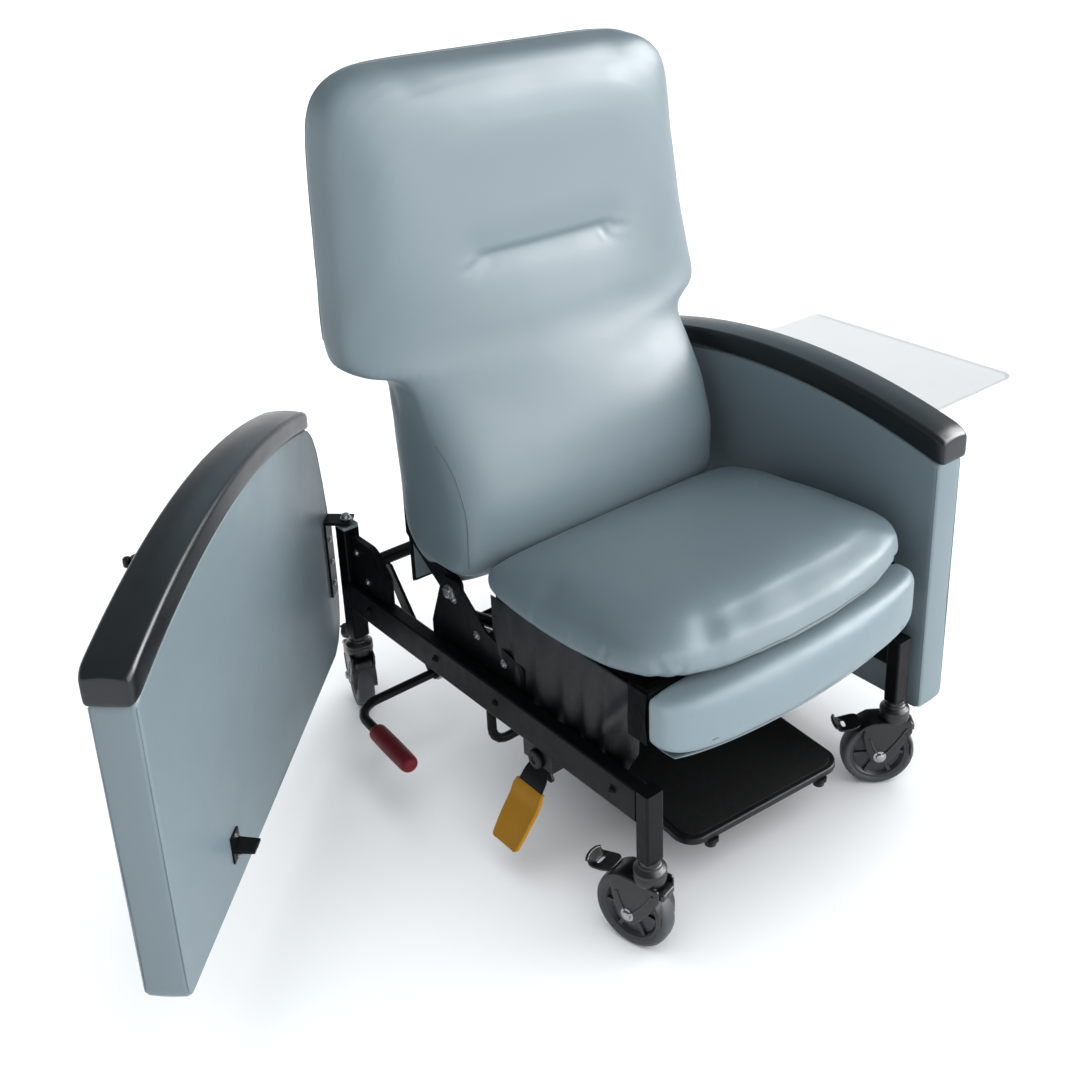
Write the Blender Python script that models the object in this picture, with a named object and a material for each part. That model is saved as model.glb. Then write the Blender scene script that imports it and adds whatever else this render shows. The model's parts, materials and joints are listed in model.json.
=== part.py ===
"""Patient recliner with swing-away arms, fold-down side trays and braked swivel casters.

Metres, +Z up, the chair faces -Y. "left" means the -X side, "right" the +X side.
The left arm stands open and the right side tray is raised at rest.
"""
import math

import bmesh
import bpy
from mathutils import Vector

# ---------------------------------------------------------------- driving dimensions
CHAIR_X = 0.13547         # puts the bounding box centre on the origin
CHAIR_Y = -0.05812

RAIL_OUT = 0.2966         # outer face of the side rails
RAIL_T = 0.0250
RAIL_Z0 = 0.2270
RAIL_Z1 = 0.2832
POST_W = 0.0316
POST_Z0 = 0.1642          # underside of the posts, top of the caster stems
FRONT_POST_Y = -0.3643
FRONT_POST_D = 0.0256
REAR_POST_Y = 0.4387
REAR_POST_Z1 = 0.3874
FIT = 0.0004              # clearance between touching pieces

ARM_IN = 0.3176
ARM_T = 0.0606
ARM_FRONT = -0.3740
ARM_Z0 = 0.1340
ARM_OPEN = 44.287         # degrees the left arm stands open
ARCH = (0.6555, 0.0122, -0.4053)
CAP_OVER_IN = 0.0040
CAP_OVER_OUT = 0.0100

TRAY_IN = 0.3940
TRAY_OUT = 0.6598
TRAY_Y0 = -0.2920
TRAY_Y1 = 0.1810
TRAY_TOP = 0.6258
TRAY_T = 0.0120
TRAY_PIVOT = (0.3862, 0.6050)

BACK_PIVOT = (0.1400, 0.3800)
LEG_PIVOT = (-0.3340, 0.4250)
LEVER_PIVOT = (0.3100, 0.1080)
PEDAL_PIVOT = (0.2880, 0.1850)

FOOT_TURN = -5.0          # the foot tray sits slightly out of square
FOOT_Z0 = 0.0920
FOOT_Z1 = 0.1040
FOOT_HALF = 0.1650

WHEEL_R = 0.0625
TRAIL = 0.0260
CASTERS = {
    "front_left": (-1, FRONT_POST_Y + FRONT_POST_D / 2, 14.0),
    "front_right": (1, FRONT_POST_Y + FRONT_POST_D / 2, 52.0),
    "rear_left": (-1, REAR_POST_Y, -20.0),
    "rear_right": (1, REAR_POST_Y, 8.0),
}
POST_X = RAIL_OUT - POST_W / 2

# ---------------------------------------------------------------- scene and materials
for old in list(bpy.data.objects):
    bpy.data.objects.remove(old, do_unlink=True)


def material(name, rgb, rough, metal=0.0):
    mat = bpy.data.materials.new(name)
    mat.use_nodes = True
    shader = mat.node_tree.nodes["Principled BSDF"]
    shader.inputs["Base Color"].default_value = (rgb[0], rgb[1], rgb[2], 1.0)
    shader.inputs["Roughness"].default_value = rough
    shader.inputs["Metallic"].default_value = metal
    return mat


VINYL = material("vinyl", (0.36, 0.45, 0.50), 0.45)
FRAME = material("frame_paint", (0.024, 0.025, 0.028), 0.40)
FABRIC = material("black_cloth", (0.012, 0.012, 0.014), 0.80)
CAPMAT = material("arm_cap", (0.030, 0.032, 0.035), 0.35)
TRAYMAT = material("tray_plastic", (0.84, 0.84, 0.82), 0.40)
GREY = material("grey_plastic", (0.35, 0.38, 0.40), 0.45)
TYRE = material("wheel_rubber", (0.050, 0.060, 0.066), 0.55)
FORK = material("fork_plastic", (0.018, 0.019, 0.021), 0.38)
YELLOW = material("pedal_yellow", (0.35, 0.18, 0.012), 0.45)
RED = material("grip_red", (0.11, 0.010, 0.016), 0.45)
BLACK = material("black_plastic", (0.010, 0.010, 0.011), 0.45)

PIVOTS = {}


def pivot(name, at, parent=None, turn=(0.0, 0.0, 0.0)):
    """An empty on a joint axis; positions are given in the chair's own frame, closed pose."""
    empty = bpy.data.objects.new(name, None)
    bpy.context.scene.collection.objects.link(empty)
    base = Vector((0.0, 0.0, 0.0))
    if parent:
        empty.parent = PIVOTS[parent][0]
        base = PIVOTS[parent][1]
    empty.location = Vector(at) - base
    empty.rotation_euler = [math.radians(a) for a in turn]
    PIVOTS[name] = (empty, Vector(at))
    return name


def solid(name, verts, faces, mat, at, smooth=None):
    """A closed mesh object, its points given in the chair frame, hung on a pivot."""
    empty, base = PIVOTS[at]
    mesh = bpy.data.meshes.new(name)
    mesh.from_pydata([Vector(v) - base for v in verts], [], faces)
    mesh.materials.append(mat)
    bm = bmesh.new()
    bm.from_mesh(mesh)
    bmesh.ops.recalc_face_normals(bm, faces=bm.faces)
    bm.to_mesh(mesh)
    bm.free()
    if smooth:
        for face in mesh.polygons:
            face.use_smooth = True
        mesh.set_sharp_from_angle(angle=math.radians(smooth))
    obj = bpy.data.objects.new(name, mesh)
    bpy.context.scene.collection.objects.link(obj)
    obj.parent = empty
    return obj


def loft(name, rings, mat, at, smooth=40):
    """Skin a run of equal-length rings and close both ends."""
    count = len(rings[0])
    verts = [p for ring in rings for p in ring]
    faces = []
    for i in range(len(rings) - 1):
        for j in range(count):
            k = (j + 1) % count
            a = i * count
            b = a + count
            faces.append((a + j, a + k, b + k, b + j))
    faces.append(tuple(range(count)))
    faces.append(tuple(range(len(verts) - count, len(verts))))
    return solid(name, verts, faces, mat, at, smooth)


def prism(name, outline, axis, lo, hi, mat, at, smooth=None):
    """Extrude a 2-D outline along X, Y or Z between two planes."""
    def lift(p, h):
        if axis == "X":
            return (h, p[0], p[1])
        if axis == "Y":
            return (p[0], h, p[1])
        return (p[0], p[1], h)
    return loft(name, [[lift(p, lo) for p in outline], [lift(p, hi) for p in outline]], mat, at, smooth)


def rounded(points, radius, steps=4):
    """Fillet the corners of a closed outline; radius is one value or one per corner."""
    out = []
    n = len(points)
    for i in range(n):
        r = radius[i] if isinstance(radius, (list, tuple)) else radius
        p = Vector(points[i])
        a = (Vector(points[i - 1]) - p).normalized()
        b = (Vector(points[(i + 1) % n]) - p).normalized()
        if r <= 0.0:
            out.append(tuple(p))
            continue
        half = a.angle(b) / 2
        cut = r / math.tan(half)
        mid = p + (a + b).normalized() * (r / math.sin(half))
        start = p + a * cut - mid
        end = p + b * cut - mid
        for k in range(steps + 1):
            t = k / steps
            v = (start * (1 - t) + end * t).normalized() * r
            out.append(tuple(mid + v))
    return out


def box(name, lo, hi, mat, at):
    outline = [(lo[0], lo[1]), (hi[0], lo[1]), (hi[0], hi[1]), (lo[0], hi[1])]
    return prism(name, outline, "Z", lo[2], hi[2], mat, at)


def superellipse(cx, cy, ax, ay, power, count):
    """Rounded-rectangle ring, as (u, v) pairs."""
    pts = []
    for k in range(count):
        t = 2 * math.pi * (k + 0.5) / count
        c = math.cos(t)
        s = math.sin(t)
        u = math.copysign(abs(c) ** (2 / power), c)
        v = math.copysign(abs(s) ** (2 / power), s)
        pts.append((cx + ax * u, cy + ay * v))
    return pts


def sweep(name, path, radius, sides, mat, at):
    """Round tube along a path, capped at both ends."""
    pts = [Vector(p) for p in path]
    rings = []
    side = None
    for i, p in enumerate(pts):
        ahead = pts[min(i + 1, len(pts) - 1)] - pts[max(i - 1, 0)]
        ahead.normalize()
        if side is None:
            side = ahead.orthogonal().normalized()
        else:
            side = (side - ahead * side.dot(ahead)).normalized()
        up = ahead.cross(side)
        ring = []
        for k in range(sides):
            t = 2 * math.pi * k / sides
            ring.append(tuple(p + side * (radius * math.cos(t)) + up * (radius * math.sin(t))))
        rings.append(ring)
    return loft(name, rings, mat, at, 40)


def bend(path, radius, steps=5):
    """Round the inner corners of an open 3-D path."""
    out = [Vector(path[0])]
    for i in range(1, len(path) - 1):
        p = Vector(path[i])
        a = (Vector(path[i - 1]) - p).normalized()
        b = (Vector(path[i + 1]) - p).normalized()
        half = a.angle(b) / 2
        cut = radius / math.tan(half)
        mid = p + (a + b).normalized() * (radius / math.sin(half))
        start = p + a * cut - mid
        end = p + b * cut - mid
        for k in range(steps + 1):
            t = k / steps
            out.append(mid + (start * (1 - t) + end * t).normalized() * radius)
    out.append(Vector(path[-1]))
    return out


def turned_x(name, profile, centre, sides, mat, at):
    """Revolve (radius, x) pairs about an X axis through centre; the ends lie on the axis."""
    verts = [(centre[0] + profile[0][1], centre[1], centre[2])]
    faces = []
    for r, x in profile[1:-1]:
        for k in range(sides):
            t = 2 * math.pi * k / sides
            verts.append((centre[0] + x, centre[1] + r * math.cos(t), centre[2] + r * math.sin(t)))
    verts.append((centre[0] + profile[-1][1], centre[1], centre[2]))
    rows = len(profile) - 2
    for k in range(sides):
        n = (k + 1) % sides
        faces.append((0, 1 + k, 1 + n))
        faces.append((len(verts) - 1, 1 + (rows - 1) * sides + n, 1 + (rows - 1) * sides + k))
        for i in range(rows - 1):
            a = 1 + i * sides
            b = a + sides
            faces.append((a + k, b + k, b + n, a + n))
    return solid(name, verts, faces, mat, at, 40)


def combine(target, tool, operation):
    tool.hide_render = True
    tool.display_type = "WIRE"
    mod = target.modifiers.new(operation.lower(), "BOOLEAN")
    mod.operation = operation
    mod.solver = "EXACT"
    mod.object = tool
    return target


def arch(y):
    return ARCH[0] + ARCH[1] * y + ARCH[2] * y * y


# ---------------------------------------------------------------- frames of reference
root, _ = PIVOTS[pivot("chair", (0.0, 0.0, 0.0))]
root.location = (CHAIR_X, CHAIR_Y, 0.0)
pivot("frame_origin", (0.0, 0.0, 0.0), "chair")

# ---------------------------------------------------------------- base frame
for side, s in (("left", -1), ("right", 1)):
    rail_y0 = FRONT_POST_Y + FRONT_POST_D + FIT
    rail_y1 = REAR_POST_Y - POST_W / 2 - FIT
    prism("side_rail_" + side,
          rounded([(s * RAIL_OUT, RAIL_Z0), (s * RAIL_OUT, RAIL_Z1),
                   (s * (RAIL_OUT - RAIL_T), RAIL_Z1), (s * (RAIL_OUT - RAIL_T), RAIL_Z0)], 0.003, 2),
          "Y", rail_y0, rail_y1, FRAME, "frame_origin", 50)
    x0 = s * RAIL_OUT
    x1 = s * (RAIL_OUT - POST_W)
    prism("front_post_" + side,
          rounded([(x0, FRONT_POST_Y), (x1, FRONT_POST_Y), (x1, FRONT_POST_Y + FRONT_POST_D),
                   (x0, FRONT_POST_Y + FRONT_POST_D)], 0.003, 2),
          "Z", POST_Z0, RAIL_Z1, FRAME, "frame_origin", 50)
    h = POST_W / 2
    prism("rear_post_" + side,
          rounded([(x0, REAR_POST_Y - h), (x1, REAR_POST_Y - h), (x1, REAR_POST_Y + h),
                   (x0, REAR_POST_Y + h)], 0.003, 2),
          "Z", POST_Z0, REAR_POST_Z1, FRAME, "frame_origin", 50)
    prism("post_cap_" + side,
          rounded([(x0, REAR_POST_Y - h), (x1, REAR_POST_Y - h), (x1, REAR_POST_Y + h),
                   (x0, REAR_POST_Y + h)], 0.004, 2),
          "Z", REAR_POST_Z1 + FIT, REAR_POST_Z1 + 0.0065, GREY, "frame_origin", 50)
    prism("post_gusset_" + side,
          rounded([(0.3050, RAIL_Z1 + FIT), (rail_y1, RAIL_Z1 + FIT), (rail_y1, 0.3780),
                   (0.3480, 0.3780), (0.3050, 0.3350)], [0.0, 0.0, 0.004, 0.03, 0.02], 4),
          "X", s * 0.2750, s * 0.2870, FRAME, "frame_origin", 50)
    prism("mechanism_plate_" + side,
          rounded([(-0.0500, 0.2350), (0.2000, 0.2350), (0.2000, 0.3000), (0.1600, 0.4040),
                   (0.1150, 0.4040), (0.0450, 0.3450), (-0.0500, 0.3250)], 0.012, 3),
          "X", s * 0.2630, s * 0.2670, FRAME, "frame_origin", 50)
    prism("side_apron_" + side,
          rounded([(0.0330, 0.4200), (-0.3160, 0.4200), (-0.3160, 0.3150), (-0.2850, 0.2640),
                   (-0.0350, 0.2640), (0.0330, 0.3500)], [0.0, 0.0, 0.01, 0.01, 0.02, 0.02], 3),
          "X", s * 0.2550, s * 0.2606, FABRIC, "frame_origin", 50)
    box("latch_block_" + side, (min(s * 0.2620, s * 0.2920), -0.1450, 0.1940),
        (max(s * 0.2620, s * 0.2920), -0.0750, RAIL_Z0 - FIT), BLACK, "frame_origin")

cross_x = POST_X - POST_W / 2 - FIT
sweep("rear_cross_tube", [(-cross_x, REAR_POST_Y, 0.2950), (cross_x, REAR_POST_Y, 0.2950)],
      0.0125, 16, FRAME, "frame_origin")
prism("lever_hanger",
      rounded([(0.2980, 0.0960), (0.3220, 0.0960), (0.4480, 0.2700), (0.4480, 0.2820),
               (0.4290, 0.2820), (0.2980, 0.1200)], [0.011, 0.011, 0.004, 0.0, 0.0, 0.011], 3),
      "X", -0.2075, -0.2015, FRAME, "frame_origin", 50)
box("seat_deck", (-0.2545, -0.3100, 0.4080), (0.2545, 0.0300, 0.4200), BLACK, "frame_origin")

# ---------------------------------------------------------------- seat cushion
SEAT_RINGS = (
    (0.0400, 0.238, 0.4340, 0.474), (0.0290, 0.264, 0.4250, 0.489), (-0.0200, 0.278, 0.4206, 0.503),
    (-0.1000, 0.286, 0.4206, 0.514), (-0.1800, 0.289, 0.4215, 0.519), (-0.2600, 0.288, 0.4290, 0.520),
    (-0.3150, 0.280, 0.4400, 0.517), (-0.3450, 0.263, 0.4480, 0.511), (-0.3720, 0.222, 0.4540, 0.503),
    (-0.3920, 0.150, 0.4590, 0.494), (-0.4010, 0.070, 0.4640, 0.485),
)
rings = []
for y, w, zb, zt in SEAT_RINGS:
    ring = superellipse(0.0, (zb + zt) / 2, w, (zt - zb) / 2, 4.0, 24)
    rings.append([(u, y, v) for u, v in ring])
loft("seat_cushion", rings, VINYL, "frame_origin", 60)

# ---------------------------------------------------------------- reclining back
pivot("back_axis", (0.0, BACK_PIVOT[0], BACK_PIVOT[1]), "chair")
BACK_RINGS = (
    (0.3850, 0.222, 0.166, 0.214), (0.3930, 0.238, 0.142, 0.230), (0.4080, 0.246, 0.110, 0.243),
    (0.4240, 0.249, 0.084, 0.249), (0.4400, 0.250, 0.066, 0.252), (0.4520, 0.258, 0.055, 0.253),
    (0.4720, 0.269, 0.049, 0.254), (0.5300, 0.276, 0.047, 0.255),
    (0.6000, 0.277, 0.066, 0.257), (0.6800, 0.278, 0.112, 0.264), (0.7270, 0.283, 0.153, 0.283),
    (0.7480, 0.298, 0.170, 0.298), (0.7630, 0.344, 0.181, 0.305), (0.7950, 0.368, 0.193, 0.312),
    (0.9000, 0.360, 0.206, 0.325), (1.0200, 0.350, 0.218, 0.340), (1.1200, 0.340, 0.229, 0.350),
    (1.1600, 0.327, 0.237, 0.352), (1.1850, 0.300, 0.249, 0.346), (1.1960, 0.262, 0.266, 0.334),
)
rings = []
for z, w, y0, y1 in BACK_RINGS:
    mid = (y0 + y1) / 2
    crown = 0.034 * math.exp(-((z - 0.770) / 0.110) ** 2)
    ring = superellipse(0.0, mid, w, (y1 - y0) / 2, 4.0, 28)
    rings.append([(u, v - crown * (1.0 - (u / w) ** 2) * min(1.0, max(0.0, (mid - v) / (mid - y0))), z)
                  for u, v in ring])
loft("back_cushion", rings, VINYL, "back_axis", 60)
PANEL_LINE = ((0.2730, 0.3350), (0.2730, 0.6600), (0.2970, 0.7350), (0.3190, 0.7900),
              (0.3310, 0.9000), (0.3460, 1.0200), (0.3560, 1.1100))
prism("back_panel", list(PANEL_LINE) + [(y + 0.0080, z) for y, z in reversed(PANEL_LINE)],
      "X", -0.2500, 0.2500, VINYL, "back_axis", 50)
for side, s in (("left", -1), ("right", 1)):
    prism("back_bracket_" + side,
          rounded([(0.1220, 0.3600), (0.1600, 0.3600), (0.2700, 0.4350), (0.2700, 0.6200),
                   (0.2595, 0.6200), (0.2595, 0.4520), (0.1220, 0.4000)],
                  [0.012, 0.012, 0.006, 0.003, 0.003, 0.003, 0.012], 3),
          "X", s * 0.2520, s * 0.2620, FRAME, "back_axis", 50)

# ---------------------------------------------------------------- leg rest
pivot("leg_carriage", (0.0, 0.0, 0.0), "chair")
pivot("leg_axis", (0.0, LEG_PIVOT[0], LEG_PIVOT[1]), "leg_carriage")
for side, s in (("left", -1), ("right", 1)):
    box("leg_rest_bar_" + side, (min(s * 0.2360, s * 0.2490), -0.3280, 0.3600),
        (max(s * 0.2360, s * 0.2490), -0.0200, 0.3780), FRAME, "leg_carriage")
cheek = 0.2680
inner = 0.2630
prism("leg_rest_board",
      [(-cheek, -0.3380), (cheek, -0.3380), (cheek, -0.2960), (inner, -0.2960), (inner, -0.3290),
       (-inner, -0.3290), (-inner, -0.2960), (-cheek, -0.2960)],
      "Z", 0.3500, 0.4300, BLACK, "leg_axis")
front = []
for k in range(19):
    t = -1.0 + 2.0 * k / 18
    x = 0.2790 * math.sin(t * math.pi / 2)
    front.append((x, -0.3760 - 0.0540 * math.cos(t * math.pi / 2)))
prism("leg_rest_pad", [(0.2740, -0.3384)] + [(-x, y) for x, y in front] + [(-0.2740, -0.3384)],
      "Z", 0.3440, 0.4370, VINYL, "leg_axis", 50)

# ---------------------------------------------------------------- foot tray
pivot("foot_turn", (0.0, -0.2000, 0.0), "chair", (0.0, 0.0, FOOT_TURN))
pivot("foot_slide", (0.0, -0.2000, 0.0), "foot_turn")
tongue = 0.0600
prism("foot_tray",
      rounded([(-FOOT_HALF, -0.3380), (FOOT_HALF, -0.3380), (FOOT_HALF, -0.0620), (tongue, -0.0620),
               (tongue, 0.2200), (-tongue, 0.2200), (-tongue, -0.0620), (-FOOT_HALF, -0.0620)],
              [0.035, 0.035, 0.02, 0.0, 0.01, 0.01, 0.0, 0.02], 5),
      "Z", FOOT_Z0, FOOT_Z1, BLACK, "foot_slide", 50)
prism("foot_tray_channel",
      [(-0.0740, 0.0865), (-0.0450, 0.0865), (-0.0450, 0.0905), (-0.0614, 0.0905), (-0.0614, 0.1062),
       (0.0614, 0.1062), (0.0614, 0.0905), (0.0450, 0.0905), (0.0450, 0.0865), (0.0740, 0.0865),
       (0.0740, 0.1182), (-0.0740, 0.1182)],
      "Y", -0.0560, 0.2000, FRAME, "foot_turn")
hang = RAIL_OUT - RAIL_T - 0.0080 - FIT
sweep("foot_tray_hanger",
      bend([(-hang, 0.0500, 0.2346), (-hang, 0.0500, 0.1268), (hang, 0.0500, 0.1268),
            (hang, 0.0500, 0.2346)], 0.0300), 0.0080, 12, FRAME, "frame_origin")

# ---------------------------------------------------------------- foot lever
pivot("lever_axis", (-0.2080, LEVER_PIVOT[0], LEVER_PIVOT[1]), "chair")
z = LEVER_PIVOT[1]
sweep("foot_lever",
      bend([(-0.2080, LEVER_PIVOT[0], z), (-0.3700, LEVER_PIVOT[0], z), (-0.3755, 0.2350, z)], 0.0450, 7),
      0.0085, 14, FRAME, "lever_axis")
grip_dir = Vector((-0.0055, -0.0750, 0.0)).normalized()
grip_a = Vector((-0.3755, 0.2350, z)) + grip_dir * 2 * FIT
grip_b = grip_a + grip_dir * 0.1230
axis = (grip_b - grip_a).normalized()
across = Vector((-axis.y, axis.x, 0.0))
rings = []
for t, r in ((0.0, 0.0120), (0.03, 0.0140), (0.90, 0.0140), (0.97, 0.0115), (1.0, 0.0070)):
    c = grip_a.lerp(grip_b, t)
    ring = []
    for k in range(14):
        a = 2 * math.pi * k / 14
        ring.append(tuple(c + across * (r * math.cos(a)) + Vector((0.0, 0.0, 0.9 * r * math.sin(a)))))
    rings.append(ring)
loft("lever_grip", rings, RED, "lever_axis", 40)

# ---------------------------------------------------------------- arm release pedals
PEDAL_RINGS = ((0.2860, 0.1900, -0.1100, 0.028), (0.3000, 0.1680, -0.1080, 0.033),
               (0.3080, 0.1480, -0.1040, 0.034), (0.3125, 0.1290, -0.1000, 0.034),
               (0.3300, 0.0920, -0.0930, 0.033), (0.3440, 0.0600, -0.0870, 0.030),
               (0.3462, 0.0550, -0.0862, 0.026))
for side, s in (("left", -1), ("right", 1)):
    at = pivot("pedal_axis_" + side, (s * PEDAL_PIVOT[0], -0.1100, PEDAL_PIVOT[1]), "chair")
    rings = []
    for x, zz, y, w in PEDAL_RINGS:
        rings.append([(s * (x - 0.0026), y - w, zz - 0.0015), (s * (x + 0.0026), y - w, zz + 0.0015),
                      (s * (x + 0.0026), y + w, zz + 0.0015), (s * (x - 0.0026), y + w, zz - 0.0015)])
    loft("release_pedal_" + side, rings, YELLOW, at, 40)

# ---------------------------------------------------------------- swing-away arms and trays
ARM_SIDE = [(ARM_FRONT, ARM_Z0)]
for k in range(17):
    y = ARM_FRONT + (0.3900 - ARM_FRONT) * k / 16
    ARM_SIDE.append((y, arch(y)))
ARM_SIDE += [(0.4150, 0.5740), (0.4330, 0.5380), (0.4480, 0.4680), (0.4600, 0.3900), (0.4710, 0.3000),
             (0.4730, 0.2600), (0.4680, 0.2100), (0.4580, 0.1740), (0.4380, 0.1480), (0.4100, 0.1340)]
for side, s in (("left", -1), ("right", 1)):
    turn = (0.0, 0.0, -ARM_OPEN) if s < 0 else (0.0, 0.0, 0.0)
    at = pivot("arm_axis_" + side, (s * POST_X, REAR_POST_Y, 0.0), "chair", turn)
    prism("arm_panel_" + side, ARM_SIDE, "X", s * ARM_IN, s * (ARM_IN + ARM_T), VINYL, at, 30)
    c0 = ARM_IN - CAP_OVER_IN
    c1 = ARM_IN + ARM_T + CAP_OVER_OUT
    rings = []
    for k in range(21):
        t = k / 20
        y = -0.3820 + (0.4020 + 0.3820) * t
        full = 0.0460 - 0.0180 * (y + 0.20)
        nose = min(1.0, (y + 0.3870) / 0.0380)
        tail = min(1.0, (0.4100 - y) / 0.0320)
        full *= max(0.32, math.sqrt(max(0.0, 1 - (1 - nose) ** 2))) * math.sqrt(max(0.1, 1 - (1 - tail) ** 2))
        base = arch(max(y, ARM_FRONT)) + FIT
        ring = []
        for u, v in ((0.0, 0.0), (0.0, 0.55), (0.10, 0.82), (0.30, 0.96), (0.50, 1.0), (0.70, 0.96),
                     (0.90, 0.82), (1.0, 0.55), (1.0, 0.0)):
            ring.append((s * (c0 + (c1 - c0) * u), y, base + full * v))
        rings.append(ring)
    loft("arm_cap_" + side, rings, CAPMAT, at, 50)
    xi = ARM_IN - FIT
    prism("arm_hinge_" + side,
          [(s * xi, 0.2500), (s * xi, 0.4030), (s * 0.2700, 0.4030), (s * 0.2700, 0.3970),
           (s * (xi - 0.0040), 0.3970), (s * (xi - 0.0040), 0.2500)],
          "Y", 0.4210, 0.4560, FRAME, at)
    prism("latch_striker_" + side,
          [(s * xi, 0.1800), (s * xi, 0.2240), (s * (xi - 0.0030), 0.2240), (s * (xi - 0.0030), 0.2060),
           (s * 0.2840, 0.2030), (s * 0.2840, 0.1990), (s * (xi - 0.0030), 0.1990),
           (s * (xi - 0.0030), 0.1800)],
          "Y", -0.1780, -0.1500, FRAME, at)
    xo = ARM_IN + ARM_T + FIT
    px, pz = TRAY_PIVOT
    prism("tray_bracket_" + side,
          [(s * xo, 0.5450), (s * (xo + 0.0040), 0.5450), (s * (xo + 0.0040), 0.5920),
           (s * (px + 0.0050), 0.6000), (s * (px + 0.0050), 0.6100), (s * xo, 0.6100)],
          "Y", -0.1500, -0.0195, FRAME, at)
    fold = (0.0, -90.0, 0.0) if s < 0 else (0.0, 0.0, 0.0)
    tat = pivot("tray_axis_" + side, (s * px, 0.0, pz), at, fold)
    plate = prism("side_tray_" + side,
                  rounded([(s * TRAY_IN, TRAY_Y0), (s * TRAY_OUT, TRAY_Y0), (s * TRAY_OUT, TRAY_Y1),
                           (s * TRAY_IN, TRAY_Y1)], [0.012, 0.03, 0.03, 0.012], 6),
                  "Z", TRAY_TOP - TRAY_T, TRAY_TOP, TRAYMAT, tat, 50)
    knuckle = prism("tray_knuckle_" + side,
                    [(s * (px - 0.005), 0.6000), (s * (px + 0.005), 0.6000), (s * (px + 0.005), 0.6090),
                     (s * 0.4500, 0.6090), (s * 0.4500, 0.6150), (s * (px - 0.005), 0.6150)],
                    "Y", -0.0190, 0.0500, TRAYMAT, tat)
    combine(plate, knuckle, "UNION")

# ---------------------------------------------------------------- casters
FORK_SIDE = rounded([(-0.0270, 0.1305), (-0.0270, 0.1120), (0.0060, 0.0500), (0.0260, 0.0440),
                     (0.0440, 0.0520), (0.0560, 0.1000), (0.0550, 0.1220), (0.0470, 0.1305)],
                    [0.004, 0.012, 0.012, 0.012, 0.012, 0.012, 0.006, 0.004], 3)
WHEEL = ((0.0, -0.0120), (0.0290, -0.0120), (0.0330, -0.0160), (0.0510, -0.0160), (0.0590, -0.0120),
         (WHEEL_R, -0.0050), (WHEEL_R, 0.0050), (0.0590, 0.0120), (0.0510, 0.0160), (0.0330, 0.0160),
         (0.0290, 0.0120), (0.0, 0.0120))
for corner, (s, y, turn) in CASTERS.items():
    x = s * POST_X
    at = pivot("swivel_" + corner, (x, y, 0.0), "chair", (0.0, 0.0, turn))
    body = prism("caster_fork_" + corner, [(y + a, b) for a, b in FORK_SIDE],
                 "X", x - 0.0225, x + 0.0225, FORK, at, 50)
    slot = box("fork_slot_" + corner, (x - 0.0182, y - 0.05, 0.0), (x + 0.0182, y + 0.10, 0.1268), FORK, at)
    housing = []
    for r, h in ((0.0250, 0.1290), (0.0250, 0.1480), (0.0170, 0.1560), (0.0150, POST_Z0 - FIT)):
        housing.append([(x + r * math.cos(2 * math.pi * k / 20), y + r * math.sin(2 * math.pi * k / 20), h)
                        for k in range(20)])
    stem = loft("fork_stem_" + corner, housing, FORK, at, 50)
    combine(body, slot, "DIFFERENCE")
    combine(body, stem, "UNION")
    wat = pivot("wheel_axis_" + corner, (x, y + TRAIL, WHEEL_R), at)
    turned_x("wheel_" + corner, WHEEL, (x, y + TRAIL, WHEEL_R), 24, TYRE, wat)
    bat = pivot("brake_axis_" + corner, (x, y + 0.0620, 0.1210), at)
    prism("brake_pedal_" + corner,
          [(y + 0.0580, 0.1180), (y + 0.0600, 0.1250), (y + 0.0820, 0.1225), (y + 0.1000, 0.1165),
           (y + 0.1030, 0.1260), (y + 0.1060, 0.1250), (y + 0.1035, 0.1130), (y + 0.0810, 0.1190),
           (y + 0.0660, 0.1205)],
          "X", x - 0.0185, x + 0.0185, FORK, bat)
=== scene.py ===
"""Looks for the patient recliner: upholstery, caps, trays, casters, frame details, light and camera."""
import json
import math

import bmesh
import bpy
import numpy as np
from mathutils import Matrix, Vector, noise
from mathutils.bvhtree import BVHTree

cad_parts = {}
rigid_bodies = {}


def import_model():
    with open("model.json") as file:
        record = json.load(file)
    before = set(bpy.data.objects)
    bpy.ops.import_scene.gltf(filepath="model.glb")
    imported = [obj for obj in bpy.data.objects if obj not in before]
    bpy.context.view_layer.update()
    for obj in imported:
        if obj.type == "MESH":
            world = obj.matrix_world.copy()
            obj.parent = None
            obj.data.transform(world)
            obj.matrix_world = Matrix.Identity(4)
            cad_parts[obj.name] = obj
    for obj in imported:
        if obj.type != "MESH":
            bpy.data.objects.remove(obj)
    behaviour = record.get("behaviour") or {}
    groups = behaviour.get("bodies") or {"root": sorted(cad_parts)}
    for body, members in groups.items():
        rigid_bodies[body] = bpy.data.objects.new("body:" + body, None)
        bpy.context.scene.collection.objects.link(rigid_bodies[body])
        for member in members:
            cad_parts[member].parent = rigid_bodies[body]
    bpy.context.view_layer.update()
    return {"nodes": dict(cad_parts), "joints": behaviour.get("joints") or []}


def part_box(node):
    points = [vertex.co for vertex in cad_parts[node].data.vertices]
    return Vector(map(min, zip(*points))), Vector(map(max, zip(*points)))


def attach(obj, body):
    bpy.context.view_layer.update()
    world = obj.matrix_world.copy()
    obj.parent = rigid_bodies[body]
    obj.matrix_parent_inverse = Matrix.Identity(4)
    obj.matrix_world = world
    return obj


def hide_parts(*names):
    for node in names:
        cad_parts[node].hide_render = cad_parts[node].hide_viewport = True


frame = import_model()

# ------------------------------------------------------------------ frame of reference
_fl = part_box("front_post_left")
_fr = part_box("front_post_right")
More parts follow.
